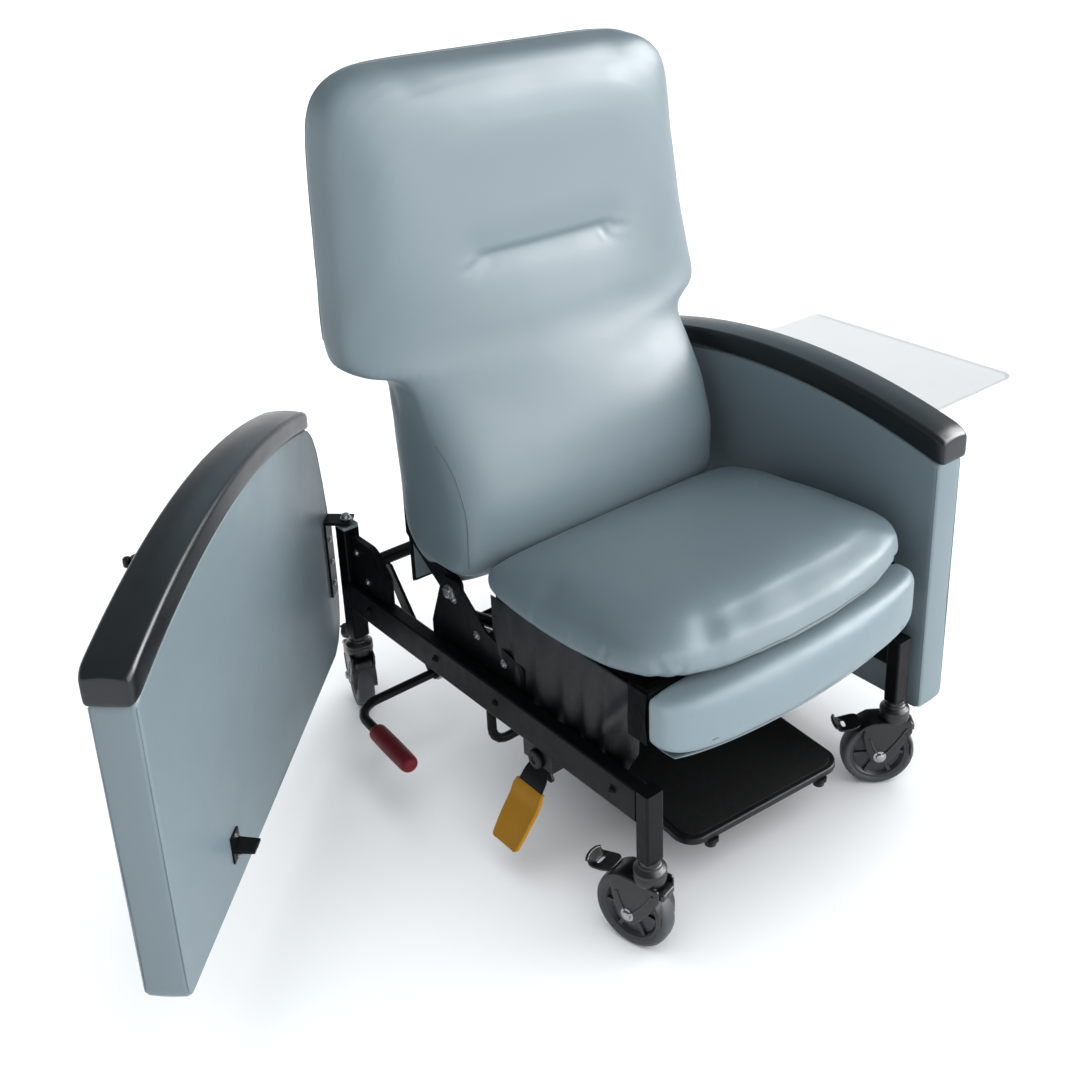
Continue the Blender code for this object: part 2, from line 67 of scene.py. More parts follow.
ORIGIN = Vector(((_fl[0].x + _fr[1].x) / 2, _fl[0].y + 0.3643, 0.0))
POST_X = 0.2808
REAR_Y = 0.4387
FRONT_Y = -0.3515
JOINTS = {j["name"]: j for j in frame["joints"]}
ARM_OPEN = JOINTS["arm_left_swing"]["range_deg"][0]
CHAIR = Matrix.Translation(ORIGIN)
SIDES = (("left", -1), ("right", 1))


def turn_about(x, y, degrees):
    """Chair-frame matrix turning about a vertical axis through (x, y)."""
    return (Matrix.Translation((x, y, 0)) @ Matrix.Rotation(math.radians(degrees), 4, "Z")
            @ Matrix.Translation((-x, -y, 0)))


# ------------------------------------------------------------------ node materials
def shader_node(nt, kind, **values):
    """Add a shader node and set its inputs by name."""
    made = nt.nodes.new("ShaderNode" + kind)
    for key, value in values.items():
        made.inputs[key.replace("_", " ")].default_value = value
    return made


def ramp(nt, fac, stops):
    """Colour ramp from (position, rgb) stops, lowest first."""
    made = nt.nodes.new("ShaderNodeValToRGB")
    elements = made.color_ramp.elements
    elements[0].position, elements[1].position = stops[0][0], stops[-1][0]
    elements[0].color, elements[1].color = (*stops[0][1], 1), (*stops[-1][1], 1)
    for position, rgb in stops[1:-1]:
        elements.new(position).color = (*rgb, 1)
    nt.links.new(fac, made.inputs[0])
    return made.outputs[0]


def noise_tex(nt, coord, scale, detail=3.0, rough=0.5, kind="NOISE"):
    if kind == "VORONOI":
        made = shader_node(nt, "TexVoronoi", Scale=scale)
        out = made.outputs["Distance"]
    else:
        made = shader_node(nt, "TexNoise", Scale=scale, Detail=detail, Roughness=rough)
        out = made.outputs[0]
    nt.links.new(coord, made.inputs["Vector"])
    return out


def scaled(rgb, k):
    return tuple(min(1.0, c * k) for c in rgb)


def surface(name, rgb, rough, spread, rough_spread, grain, patch, metal=0.0, specular=0.5, second=None):
    """Procedural material: mottled colour, varied roughness and a fine bump at real scale."""
    mat = bpy.data.materials.new(name)
    mat.use_nodes = True
    nt = mat.node_tree
    shader = nt.nodes["Principled BSDF"]
    coord = nt.nodes.new("ShaderNodeTexCoord").outputs["Object"]
    broad = noise_tex(nt, coord, patch, 4.0, 0.55)
    tint = ramp(nt, broad, ((0.3, scaled(rgb, 1 - spread)), (0.5, rgb), (0.7, scaled(rgb, 1 + spread))))
    nt.links.new(tint, shader.inputs["Base Color"])
    smudge = noise_tex(nt, coord, patch * 5.0, 3.0, 0.6)
    span = shader_node(nt, "MapRange", From_Min=0.3, From_Max=0.7, To_Min=max(0.05, rough - rough_spread),
                       To_Max=min(1.0, rough + rough_spread))
    nt.links.new(smudge, span.inputs["Value"])
    nt.links.new(span.outputs["Result"], shader.inputs["Roughness"])
    shader.inputs["Metallic"].default_value = metal
    shader.inputs["Specular IOR Level"].default_value = specular
    height = noise_tex(nt, coord, grain[0], 2.0, 0.5, grain[2])
    bump = shader_node(nt, "Bump", Strength=grain[1], Distance=0.0006)
    nt.links.new(height, bump.inputs["Height"])
    out = bump.outputs["Normal"]
    if second:
        wide = noise_tex(nt, coord, second[0], 3.0, 0.6)
        more = shader_node(nt, "Bump", Strength=second[1], Distance=second[2])
        nt.links.new(wide, more.inputs["Height"])
        nt.links.new(out, more.inputs["Normal"])
        out = more.outputs["Normal"]
    nt.links.new(out, shader.inputs["Normal"])
    return mat


# surface(name, colour, roughness, colour spread, roughness spread, (grain scale, depth, kind), patch scale)
VINYL = surface("vinyl_upholstery", (0.149, 0.193, 0.216), 0.42, 0.03, 0.04, (950, 0.22, "VORONOI"),
                2.2, specular=0.4, second=(34, 0.06, 0.002))
VINYL_SEAM = surface("vinyl_seam", (0.095, 0.122, 0.137), 0.5, 0.06, 0.05, (1400, 0.3, "NOISE"), 8)
THREAD = surface("seam_thread", (0.13, 0.165, 0.187), 0.62, 0.08, 0.05, (2600, 0.5, "NOISE"), 30)
# Arm caps: a near-black skin, with a blue tint mixed in as painted reflection of a cool sky.
CAP = surface("arm_cap_skin", (0.005, 0.007, 0.0088), 0.3, 0.08, 0.03, (1500, 0.08, "VORONOI"), 5,
              specular=0.42)
PAINT = surface("black_powder_coat", (0.003, 0.0033, 0.0038), 0.4, 0.12, 0.07, (1900, 0.18, "NOISE"), 9,
                specular=0.12)
BLACK = surface("black_moulding", (0.0035, 0.0036, 0.0042), 0.44, 0.15, 0.08, (1300, 0.2, "VORONOI"), 12,
                specular=0.28)
CLOTH = surface("black_cover_cloth", (0.0026, 0.0028, 0.0034), 0.7, 0.2, 0.08, (1700, 0.6, "NOISE"), 20,
                specular=0.12, second=(45, 0.25, 0.004))
APRON = surface("black_apron_cloth", (0.0028, 0.0033, 0.004), 0.42, 0.2, 0.06, (1700, 0.3, "NOISE"), 20,
                specular=0.45, second=(45, 0.12, 0.003))
TRAY = surface("tray_white", (0.86, 0.86, 0.845), 0.36, 0.02, 0.05, (1600, 0.06, "NOISE"), 6)
GREY = surface("grey_end_cap", (0.26, 0.29, 0.31), 0.45, 0.06, 0.05, (1500, 0.15, "NOISE"), 20)
RUBBER = surface("wheel_rubber", (0.03, 0.036, 0.04), 0.5, 0.1, 0.1, (1200, 0.25, "NOISE"), 25,
                 second=(160, 0.1, 0.001))
HUB = surface("wheel_core", (0.016, 0.018, 0.021), 0.4, 0.1, 0.06, (1100, 0.15, "NOISE"), 25)
FORK = surface("caster_moulding", (0.0055, 0.0058, 0.0064), 0.36, 0.12, 0.08, (1200, 0.18, "NOISE"), 25)
STEEL = surface("zinc_steel", (0.36, 0.37, 0.38), 0.32, 0.08, 0.1, (1700, 0.15, "NOISE"), 40, metal=1.0)
YELLOW = surface("pedal_yellow", (0.4, 0.185, 0.006), 0.5, 0.06, 0.06, (1500, 0.15, "VORONOI"), 14,
                 specular=0.15)
RED = surface("grip_red", (0.125, 0.008, 0.014), 0.46, 0.1, 0.07, (1600, 0.25, "VORONOI"), 18,
              specular=0.18)


# ------------------------------------------------------------------ mesh helpers (chair frame)
def add_mesh(name, verts, faces, mat, sharp=None, matrix=None):
    mesh = bpy.data.meshes.new(name)
    mesh.from_pydata([tuple(v) for v in verts], [], faces)
    mesh.materials.append(mat)
    bm = bmesh.new()
    bm.from_mesh(mesh)
    bmesh.ops.recalc_face_normals(bm, faces=bm.faces)
    bm.to_mesh(mesh)
    bm.free()
    mesh.transform(CHAIR @ matrix if matrix else CHAIR)
    for face in mesh.polygons:
        face.use_smooth = True
    if sharp:
        mesh.set_sharp_from_angle(angle=math.radians(sharp))
    obj = bpy.data.objects.new(name, mesh)
    bpy.context.scene.collection.objects.link(obj)
    return obj


def prism_faces(base, rows, count, caps=True):
    """Faces round a stack of equal closed rings whose points start at base."""
    faces = []
    for i in range(rows - 1):
        a = base + i * count
        for j in range(count):
            k = (j + 1) % count
            faces.append((a + j, a + k, a + count + k, a + count + j))
    if caps:
        faces.append(tuple(range(base, base + count)))
        faces.append(tuple(range(base + (rows - 1) * count, base + rows * count)))
    return faces


def loft(name, rings, mat, sharp=None, matrix=None, caps=True):
    verts = [p for ring in rings for p in ring]
    return add_mesh(name, verts, prism_faces(0, len(rings), len(rings[0]), caps), mat, sharp, matrix)


def tube(name, path, radius, mat, sides=12, matrix=None, closed=False):
    """Round rod along a path, with flat ends unless it closes on itself."""
    pts = [Vector(p) for p in path]
    rings = []
    side = None
    n = len(pts)
    for i, p in enumerate(pts):
        if closed:
            ahead = pts[(i + 1) % n] - pts[i - 1]
        else:
            ahead = pts[min(i + 1, n - 1)] - pts[max(i - 1, 0)]
        ahead.normalize()
        if side is None:
            side = ahead.orthogonal().normalized()
        else:
            side = (side - ahead * side.dot(ahead)).normalized()
        up = ahead.cross(side)
        rings.append([p + side * (radius * math.cos(2 * math.pi * k / sides))
                      + up * (radius * math.sin(2 * math.pi * k / sides)) for k in range(sides)])
    if closed:
        rings.append(rings[0])
    obj = loft(name, rings, mat, 40 if not closed else None, matrix, not closed)
    if closed:
        bm = bmesh.new()
        bm.from_mesh(obj.data)
        bmesh.ops.remove_doubles(bm, verts=bm.verts, dist=1e-6)
        bm.to_mesh(obj.data)
        bm.free()
    return obj


def fillet(points, radius, steps=6):
    """Round the corners of a closed 2-D outline."""
    out = []
    n = len(points)
    for i in range(n):
        r = radius[i] if isinstance(radius, (list, tuple)) else radius
        p = Vector(points[i])
        if r <= 0:
            out.append(tuple(p))
            continue
        a = (Vector(points[i - 1]) - p).normalized()
        b = (Vector(points[(i + 1) % n]) - p).normalized()
        half = a.angle(b) / 2
        cut = r / math.tan(half)
        mid = p + (a + b).normalized() * (r / math.sin(half))
        start = p + a * cut - mid
        end = p + b * cut - mid
        for k in range(steps + 1):
            t = k / steps
            out.append(tuple(mid + (start * (1 - t) + end * t).normalized() * r))
    return out


def offset_outline(points, d):
    """Move a closed 2-D outline inwards by d along its own normals."""
    pts = [Vector(p) for p in points]
    n = len(pts)
    area = sum(pts[i].x * pts[(i + 1) % n].y - pts[(i + 1) % n].x * pts[i].y for i in range(n))
    sign = 1 if area > 0 else -1
    out = []
    for i in range(n):
        t = (pts[(i + 1) % n] - pts[i - 1]).normalized()
        out.append((pts[i].x - sign * t.y * d, pts[i].y + sign * t.x * d))
    return out


def resample(points, step):
    pts = [Vector(p) for p in points]
    pts.append(pts[0])
    seg = [(pts[i + 1] - pts[i]).length for i in range(len(pts) - 1)]
    total = sum(seg)
    n = max(8, int(round(total / step)))
    out = []
    i = 0
    run = 0.0
    for k in range(n):
        want = total * k / n
        while run + seg[i] < want:
            run += seg[i]
            i += 1
        t = (want - run) / seg[i]
        out.append(tuple(pts[i].lerp(pts[i + 1], t)))
    return out


AXES = {"X": lambda u, v, h: (h, u, v), "Y": lambda u, v, h: (u, h, v), "Z": lambda u, v, h: (u, v, h)}


def rectangle(x0, y0, x1, y1):
    return [(x0, y0), (x1, y0), (x1, y1), (x0, y1)]


def both_ends(half, middle=()):
    """Mirror a profile's (radius, height) points to the other end."""
    return half + list(middle) + [(r, -h) for r, h in reversed(half)]


def slab(name, outline, axis, levels, mat, sharp=None, matrix=None):
    """Closed plate from an outline and (height, inset) levels, so its edges can be rounded."""
    lift = AXES[axis]
    rings = []
    for h, d in levels:
        edge = offset_outline(outline, d) if d else outline
        rings.append([lift(u, v, h) for u, v in edge])
    return loft(name, rings, mat, sharp, matrix)


def turned(name, profile, mat, axis="Z", sides=32, matrix=None):
    """Revolve (radius, height) pairs; the first and last lie on the axis."""
    lift = AXES[axis]
    verts = [lift(0, 0, profile[0][1])]
    for r, h in profile[1:-1]:
        for k in range(sides):
            t = 2 * math.pi * k / sides
            verts.append(lift(r * math.cos(t), r * math.sin(t), h))
    verts.append(lift(0, 0, profile[-1][1]))
    rows = len(profile) - 2
    faces = []
    for k in range(sides):
        n = (k + 1) % sides
        faces.append((0, 1 + k, 1 + n))
        faces.append((len(verts) - 1, 1 + (rows - 1) * sides + n, 1 + (rows - 1) * sides + k))
        for i in range(rows - 1):
            a = 1 + i * sides
            b = a + sides
            faces.append((a + k, b + k, b + n, a + n))
    return add_mesh(name, verts, faces, mat, 35, matrix)


def ring_turned(name, profile, mat, axis="X", sides=48, matrix=None):
    """Revolve a closed (radius, height) outline into a ring."""
    lift = AXES[axis]
    count = len(profile)
    verts = []
    for k in range(sides):
        t = 2 * math.pi * k / sides
        for r, h in profile:
            verts.append(lift(r * math.cos(t), r * math.sin(t), h))
    faces = []
    for k in range(sides):
        a = k * count
        b = ((k + 1) % sides) * count
        for j in range(count):
            n = (j + 1) % count
            faces.append((a + j, a + n, b + n, b + j))
    return add_mesh(name, verts, faces, mat, 35, matrix)


def at(x, y, z):
    return Matrix.Translation((x, y, z))


def belong(obj, body, node=None):
    """A piece rides on a body and may stand for a CAD node, which is then hidden."""
    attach(obj, body)
    if node:
        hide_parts(node)


def bevel(obj, width, degrees):
    """Round every edge that is sharper than the angle."""
    mod = obj.modifiers.new("edge", "BEVEL")
    mod.width = width
    mod.segments = 2
    mod.limit_method = "ANGLE"
    mod.angle_limit = math.radians(degrees)


def curves(rows):
    """One smooth curve for each further column of a table, along its first column."""
    return [pchip([row[0] for row in rows], [row[c] for row in rows]) for c in range(1, len(rows[0]))]


def shell(nu, nv, point):
    """Closed thin sheet of nu by nv points on two layers, from point(u, v, layer) with u and v in 0..1."""
    verts = [point(i / (nu - 1), j / (nv - 1), layer)
             for layer in (0, 1) for i in range(nu) for j in range(nv)]
    n = nu * nv
    faces = []
    for i in range(nu - 1):
        for j in range(nv - 1):
            a = i * nv + j
            faces.append((a, a + nv, a + nv + 1, a + 1))
            faces.append((n + a, n + a + 1, n + a + nv + 1, n + a + nv))
    for i in range(nu - 1):
        a = i * nv
        b = a + nv - 1
        faces.append((a, n + a, n + a + nv, a + nv))
        faces.append((b, b + nv, n + b + nv, n + b))
    for j in range(nv - 1):
        b = (nu - 1) * nv + j
        faces.append((j, j + 1, n + j + 1, n + j))
        faces.append((b, n + b, n + b + 1, b + 1))
    return verts, faces


def bolt(name, x, y, z, toward, radius, mat, body, matrix=None):
    """Domed socket screw on a washer; toward is the axis letter and sign its head faces."""
    sign = 1 if toward[0] == "+" else -1
    prof = [(0, 0.0), (radius * 1.55, 0.0), (radius * 1.55, 0.001), (radius * 1.05, 0.0012),
            (radius, 0.003), (radius * 0.82, 0.0042), (radius * 0.42, 0.0046), (radius * 0.4, 0.003),
            (0, 0.003)]
    prof = [(r, sign * h) for r, h in prof]
    m = at(x, y, z)
    obj = turned(name, prof, mat, toward[1], 20, matrix @ m if matrix else m)
    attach(obj, body)
    return obj


def pchip(xs, ys):
    """Smooth monotone interpolant through stations."""
    xs = np.array(xs, float)
    ys = np.array(ys, float)
    order = np.argsort(xs)
    xs = xs[order]
    ys = ys[order]
    h = np.diff(xs)
    d = np.diff(ys) / h
    m = np.zeros_like(ys)
    m[0] = d[0]
    m[-1] = d[-1]
    for i in range(1, len(xs) - 1):
        if d[i - 1] * d[i] > 0:
            w1 = 2 * h[i] + h[i - 1]
            w2 = h[i] + 2 * h[i - 1]
            m[i] = (w1 + w2) / (w1 / d[i - 1] + w2 / d[i])

    def f(x):
        i = int(np.clip(np.searchsorted(xs, x) - 1, 0, len(h) - 1))
        t = (x - xs[i]) / h[i]
        return float((2 * t ** 3 - 3 * t ** 2 + 1) * ys[i] + (t ** 3 - 2 * t ** 2 + t) * h[i] * m[i]
                     + (-2 * t ** 3 + 3 * t ** 2) * ys[i + 1] + (t ** 3 - t ** 2) * h[i] * m[i + 1])
    return f


def signed_power(value, power):
    return math.copysign(abs(value) ** power, value)


def superellipse(ax, ay, power, count):
    pts = []
    for k in range(count):
        t = 2 * math.pi * (k + 0.5) / count
        c = math.cos(t)
        s = math.sin(t)
        pts.append((ax * signed_power(c, 2 / power), ay * signed_power(s, 2 / power)))
    return pts


def smooth01(t):
    t = min(1.0, max(0.0, t))
    return t * t * (3 - 2 * t)


# ------------------------------------------------------------------ cloth pass
CLOTH_SETTINGS = {"quality": 4, "mass": 0.35, "tension_stiffness": 18, "compression_stiffness": 12,
                  "shear_stiffness": 8, "bending_stiffness": 1.2, "air_damping": 4, "use_pressure": True,
                  "vertex_group_mass": "hold", "pin_stiffness": 1.0}


def inflate(obj, voxel, pressure, hold, cap, calm=30, frames=20):
    """Remesh and blow up with the cloth solver, holding some areas; even out and limit the movement."""
    scene = bpy.context.scene
    mesh = obj.data
    remesh = obj.modifiers.new("remesh", "REMESH")
    remesh.mode = "VOXEL"
    remesh.voxel_size = voxel
    dg = bpy.context.evaluated_depsgraph_get()
    flat = bpy.data.meshes.new_from_object(obj.evaluated_get(dg))
    obj.modifiers.clear()
    obj.data = flat
    flat.materials.clear()
    flat.materials.append(mesh.materials[0])
    rest = np.array([v.co for v in flat.vertices], float)
    group = obj.vertex_groups.new(name="hold")
    for i, p in enumerate(rest):
        w = hold(Vector(p) - ORIGIN)
        if w > 0.01:
            group.add([i], w, "REPLACE")
    cloth = obj.modifiers.new("cloth", "CLOTH")
    for key, value in CLOTH_SETTINGS.items():
        setattr(cloth.settings, key, value)
    cloth.settings.uniform_pressure_force = pressure
    cloth.settings.effector_weights.gravity = 0.0
    cloth.collision_settings.use_collision = False
    cloth.point_cache.frame_start = 1
    cloth.point_cache.frame_end = frames
    for f in range(1, frames + 1):
        scene.frame_set(f)
    dg = bpy.context.evaluated_depsgraph_get()
    done = obj.evaluated_get(dg).to_mesh()
    moved = np.array([v.co for v in done.vertices], float)
    obj.evaluated_get(dg).to_mesh_clear()
    obj.modifiers.clear()
    step = moved - rest
    ends = np.array([e.vertices[:] for e in flat.edges])
    count = np.maximum(1, np.bincount(ends.ravel(), minlength=len(rest)))
    for _ in range(calm):
        near = [np.bincount(ends[:, 0], step[ends[:, 1], k], len(rest))
                + np.bincount(ends[:, 1], step[ends[:, 0], k], len(rest)) for k in range(3)]
        step = (step + np.array(near).T / count[:, None]) / 2
    size = np.linalg.norm(step, axis=1, keepdims=True)
    limit = cap * np.tanh(size / cap) / np.maximum(size, 1e-9)
    out = rest + step * limit
    flat.vertices.foreach_set("co", out.ravel())
    for face in flat.polygons:
        face.use_smooth = True
    flat.update()
    obj.vertex_groups.clear()
    scene.frame_set(1)


def fit_box(obj, low, high):
    """Scale the finished mesh so it fills a chair-frame box exactly."""
    pts = np.array([v.co - ORIGIN for v in obj.data.vertices], float)
    lo = pts.min(axis=0)
    hi = pts.max(axis=0)
    out = (pts - lo) / (hi - lo) * (np.array(high) - np.array(low)) + np.array(low) + np.array(ORIGIN)
    obj.data.vertices.foreach_set("co", out.ravel())
    obj.data.update()


def displace(obj, field):
    """Move each vertex along its normal by field(point in the chair frame, normal)."""
    mesh = obj.data
    normals = [v.normal.copy() for v in mesh.vertices]
    for v, n in zip(mesh.vertices, normals):
        v.co += n * field(v.co - ORIGIN, n)
    mesh.update()


def relax(obj, rounds):
    """Even out the mesh by averaging neighbouring vertices."""
    bm = bmesh.new()
    bm.from_mesh(obj.data)
    for _ in range(rounds):
        bmesh.ops.smooth_vert(bm, verts=bm.verts, factor=0.5, use_axis_x=True, use_axis_y=True,
                              use_axis_z=True)
    bm.to_mesh(obj.data)
    bm.free()


def subdivide(obj):
    mod = obj.modifiers.new("soften", "SUBSURF")
    mod.levels = 1
    mod.render_levels = 1


def crease(p, a, b, depth, width):
    """Depth of a soft crease along the segment a-b for a 2-D point p, fading at both ends."""
    ab = (b[0] - a[0], b[1] - a[1])
    ap = (p[0] - a[0], p[1] - a[1])
    ll = ab[0] ** 2 + ab[1] ** 2
    t = min(1.0, max(0.0, (ap[0] * ab[0] + ap[1] * ab[1]) / ll))
    dx = ap[0] - t * ab[0]
    dy = ap[1] - t * ab[1]
    d2 = (dx * dx + dy * dy) / (width * width)
    if d2 > 9:
        return 0.0
    fade = math.sin(math.pi * (0.08 + 0.84 * t))
    return -depth * fade * (math.exp(-d2 * 1.2) - 0.35 * math.exp(-((math.sqrt(d2) - 1.7) ** 2) * 1.6))


def piping(name, path, radius, body, mat=None, matrix=None, closed=True):
    obj = tube(name, path, radius, mat or VINYL_SEAM, 8, matrix, closed)
    belong(obj, body)
    return obj


# ------------------------------------------------------------------ shared upholstery tools
def apply_subdivision(obj):
    """Subdivide smoothly and keep the result as the mesh."""
    subdivide(obj)
    dg = bpy.context.evaluated_depsgraph_get()
    done = bpy.data.meshes.new_from_object(obj.evaluated_get(dg))
    obj.modifiers.clear()
    obj.data = done
    for face in done.polygons:
        face.use_smooth = True


class Surface:
    """Nearest-point lookups on a finished mesh, in the chair frame."""

    def __init__(self, obj):
        verts = [v.co - ORIGIN for v in obj.data.vertices]
        self.tree = BVHTree.FromPolygons(verts, [tuple(p.vertices) for p in obj.data.polygons])

    def near(self, p, lift=0.0):
        spot, normal, _, _ = self.tree.find_nearest(Vector(p))
        return spot + normal * lift

    def hit(self, start, direction, lift=0.0):
        spot, normal, _, _ = self.tree.ray_cast(Vector(start), Vector(direction).normalized())
        if spot is None:
            return self.near(start, lift)
        return spot + normal * lift


def smooth_path(points, rounds=2):
    pts = [Vector(p) for p in points]
    for _ in range(rounds):
        inner = [(pts[i - 1] + pts[i] * 2 + pts[i + 1]) / 4 for i in range(1, len(pts) - 1)]
        pts = [pts[0]] + inner + [pts[-1]]
    return pts


def stitches(name, path, body):
    """Short raised thread stitches that follow a line of points."""
    length = 0.0045
    gap = 0.003
    radius = 0.0005
    pts = [Vector(p) for p in path]
    run = [0.0]
    for i in range(1, len(pts)):
        run.append(run[-1] + (pts[i] - pts[i - 1]).length)

    def place(s):
        i = int(np.clip(np.searchsorted(run, s) - 1, 0, len(pts) - 2))
        t = (s - run[i]) / max(1e-9, run[i + 1] - run[i])
        return pts[i].lerp(pts[i + 1], t)
    verts = []
    faces = []
    s = 0.0
    while s + length < run[-1]:
        a = place(s)
        b = place(s + length)
        ahead = (b - a).normalized()
        side = ahead.orthogonal().normalized()
        up = ahead.cross(side)
        base = len(verts)
        for c, r in ((a, 0.25), (a.lerp(b, 0.3), 1.0), (a.lerp(b, 0.7), 1.0), (b, 0.25)):
            for k in range(5):
                t = 2 * math.pi * k / 5
                verts.append(c + (side * math.cos(t) + up * math.sin(t)) * (radius * r))
        faces += prism_faces(base, 4, 5)
        s += length + gap
    belong(add_mesh(name, verts, faces, THREAD), body)


# ------------------------------------------------------------------ seat cushion
SEAT = ((0.04, 0.238, 0.434, 0.474), (0.029, 0.264, 0.425, 0.489), (-0.02, 0.278, 0.4206, 0.503),
        (-0.1, 0.286, 0.4206, 0.514), (-0.18, 0.289, 0.4215, 0.519), (-0.26, 0.288, 0.429, 0.52),
        (-0.315, 0.281, 0.442, 0.519), (-0.345, 0.266, 0.448, 0.517), (-0.372, 0.226, 0.451, 0.513),
        (-0.392, 0.152, 0.453, 0.508), (-0.401, 0.07, 0.455, 0.503))
seat_w, seat_b, seat_t = curves(SEAT)
SEAT_FRONT = -0.401
SEAT_REAR = 0.04


def seat_shape(name, inset):
    """Crowned block built as sections along y, closer together at both ends."""
    rings = []
    count = 58
    for i in range(count):
        t = (1 - math.cos(math.pi * i / (count - 1))) / 2
        y = SEAT_FRONT + (SEAT_REAR - SEAT_FRONT) * t
        w = max(0.02, seat_w(y) - 0.001)
        zb = seat_b(y)
        zt = seat_t(y) - inset
        ring = superellipse(w, (zt - zb) / 2, 4.2, 88)
        yy = SEAT_FRONT + 0.003 + (SEAT_REAR - SEAT_FRONT - 0.003) * t
        rings.append([(u, yy, (zb + zt) / 2 + v) for u, v in ring])
    return loft(name, rings, VINYL)


def seat_hold(p):
    """How firmly the cover is held: fully underneath, nearly so at the rear."""
    low = seat_b(min(SEAT_REAR, max(SEAT_FRONT, p.y)))
    under = 1.0 - smooth01((p.z - low - 0.004) / 0.012)
    rear = 0.9 * smooth01((p.y - 0.01) / 0.02)
    return max(under, rear)


seat = seat_shape("seat_cushion_cover", 0.006)
inflate(seat, 0.006, 4.2, seat_hold, 0.022, 24)
relax(seat, 4)
fit_box(seat, (-0.2905, -0.402, 0.4208), (0.2905, 0.0415, 0.5235))
apply_subdivision(seat)


def seat_field(p, n):
    """Gathers at the front corners and along the sides, and a slight waviness."""
    d = 0.0
    for s in (-1, 1):
        x = p.x * s
        front = (x, p.z)
        if p.y < -0.26 and x > 0.18:
            d += crease(front, (0.252, 0.452), (0.262, 0.486), 0.0022, 0.006)
            d += crease(front, (0.235, 0.448), (0.23, 0.476), 0.0013, 0.006)
        if x > 0.25:
            d += crease((p.y, p.z), (-0.262, 0.452), (-0.272, 0.482), 0.0016, 0.006)
            d += crease((p.y, p.z), (-0.205, 0.444), (-0.198, 0.47), 0.0011, 0.007)
            d += crease((p.y, p.z), (-0.105, 0.44), (-0.112, 0.468), 0.001, 0.008)
    d += 0.0011 * noise.noise(Vector((p.x * 6.0, p.y * 6.0, p.z * 9.0)))
    return d


displace(seat, seat_field)
belong(seat, "frame", "seat_cushion")
seat_skin = Surface(seat)

# hem round the cushion's foot: up one side, round the bowed front, back down the other
HEM_Y = -0.235
line = [seat_skin.hit((0.4, 0.01 - 0.245 * k / 40, 0.4275 + 0.0035 * k / 40), (-1, 0, 0), 0.0)
        for k in range(41)]
for k in range(1, 120):
    a = math.pi * k / 120
    x = 0.292 * math.cos(a)
    y = HEM_Y - 0.165 * math.sin(a) ** 0.9
    out = Vector((x, (y - HEM_Y) * 1.4, 0)).normalized()
    zz = 0.431 + 0.027 * smooth01((HEM_Y - y) / 0.16)
    line.append(seat_skin.hit(Vector((0, HEM_Y, zz)) + out * 0.6, -out, 0.0))
line += [seat_skin.hit((-0.4, HEM_Y + 0.245 * k / 40, 0.431 - 0.0035 * k / 40), (1, 0, 0), 0.0)
         for k in range(41)]
line = smooth_path(line, 4)
piping("seat_hem_welt", line, 0.0017, "frame", closed=False)

# ------------------------------------------------------------------ back cushion
BACK = ((.374, .236, .164, .198), (.382, .252, .14, .21), (.395, .262, .114, .226), (.41, .267, .094, .242),
        (.425, .27, .074, .258), (.44, .272, .06, .268), (.452, .275, .053, .271), (.472, .277, .049, .272),
        (.53, .28, .047, .272), (.6, .281, .066, .273), (.68, .282, .112, .276), (.716, .284, .146, .282),
        (.737, .3, .163, .295), (.751, .35, .173, .303), (.768, .369, .183, .309), (.8, .373, .195, .314),
        (.9, .365, .206, .327), (1.02, .356, .218, .342), (1.12, .346, .229, .352),
        (1.15, .338, .233, .354), (1.172, .322, .239, .354), (1.19, .296, .247, .35),
        (1.2, .264, .258, .343), (1.205, .226, .268, .335))
back_w, back_f, back_r = curves(BACK)
CENTRE = ((.374, .164), (.41, .094), (.44, .06), (.48, .05), (.53, .047), (.6, .063), (.68, .095),
          (.735, .1235), (.77, .143), (.8, .158), (.85, .18), (.9, .197), (.96, .211),
          (1.02, .22), (1.12, .23), (1.16, .238), (1.19, .249), (1.205, .269))
back_c, = curves(CENTRE)


def back_shape(name, inset):
    """T-shaped cushion built as sections along z, with a crowned front."""
    rings = []
    zs = [0.374, 0.377, 0.382, 0.388, 0.395, 0.402, 0.41, 0.418, 0.426, 0.434, 0.444, 0.456, 0.47]
    zs += [0.485 + (0.715 - 0.485) * k / 22 for k in range(23)]
    zs += [0.722 + (0.805 - 0.722) * k / 16 for k in range(17)]
    zs += [0.82 + (1.12 - 0.82) * k / 22 for k in range(23)]
    zs += [1.132, 1.144, 1.154, 1.164, 1.172, 1.18, 1.187, 1.193, 1.198, 1.202]
    for z in zs:
        w = back_w(z) + 0.0005
        y0 = back_f(z) + inset * smooth01((z - 0.46) / 0.05)
        y1 = back_r(z) - 0.2 * inset
        power = 4.0 + 1.2 * (1 - smooth01((z - 0.6) / 0.12))
        crown = max(0.0, y0 - back_c(z))
        half = (y1 - y0) / 2
        ring = superellipse(w, half, power, 96)
        ring = [(u, (y0 + y1) / 2 + v - crown * (1 - (u / 0.37) ** 2) * min(1.0, max(0.0, -v / half)))
                for u, v in ring]
        slim = min(1.0, 0.2505 / w) if z < 0.412 else 1.0
        rings.append([(u * (slim + (1 - slim) * smooth01((y - 0.18) / 0.03)), y, z) for u, y in ring])
    return loft(name, rings, VINYL)


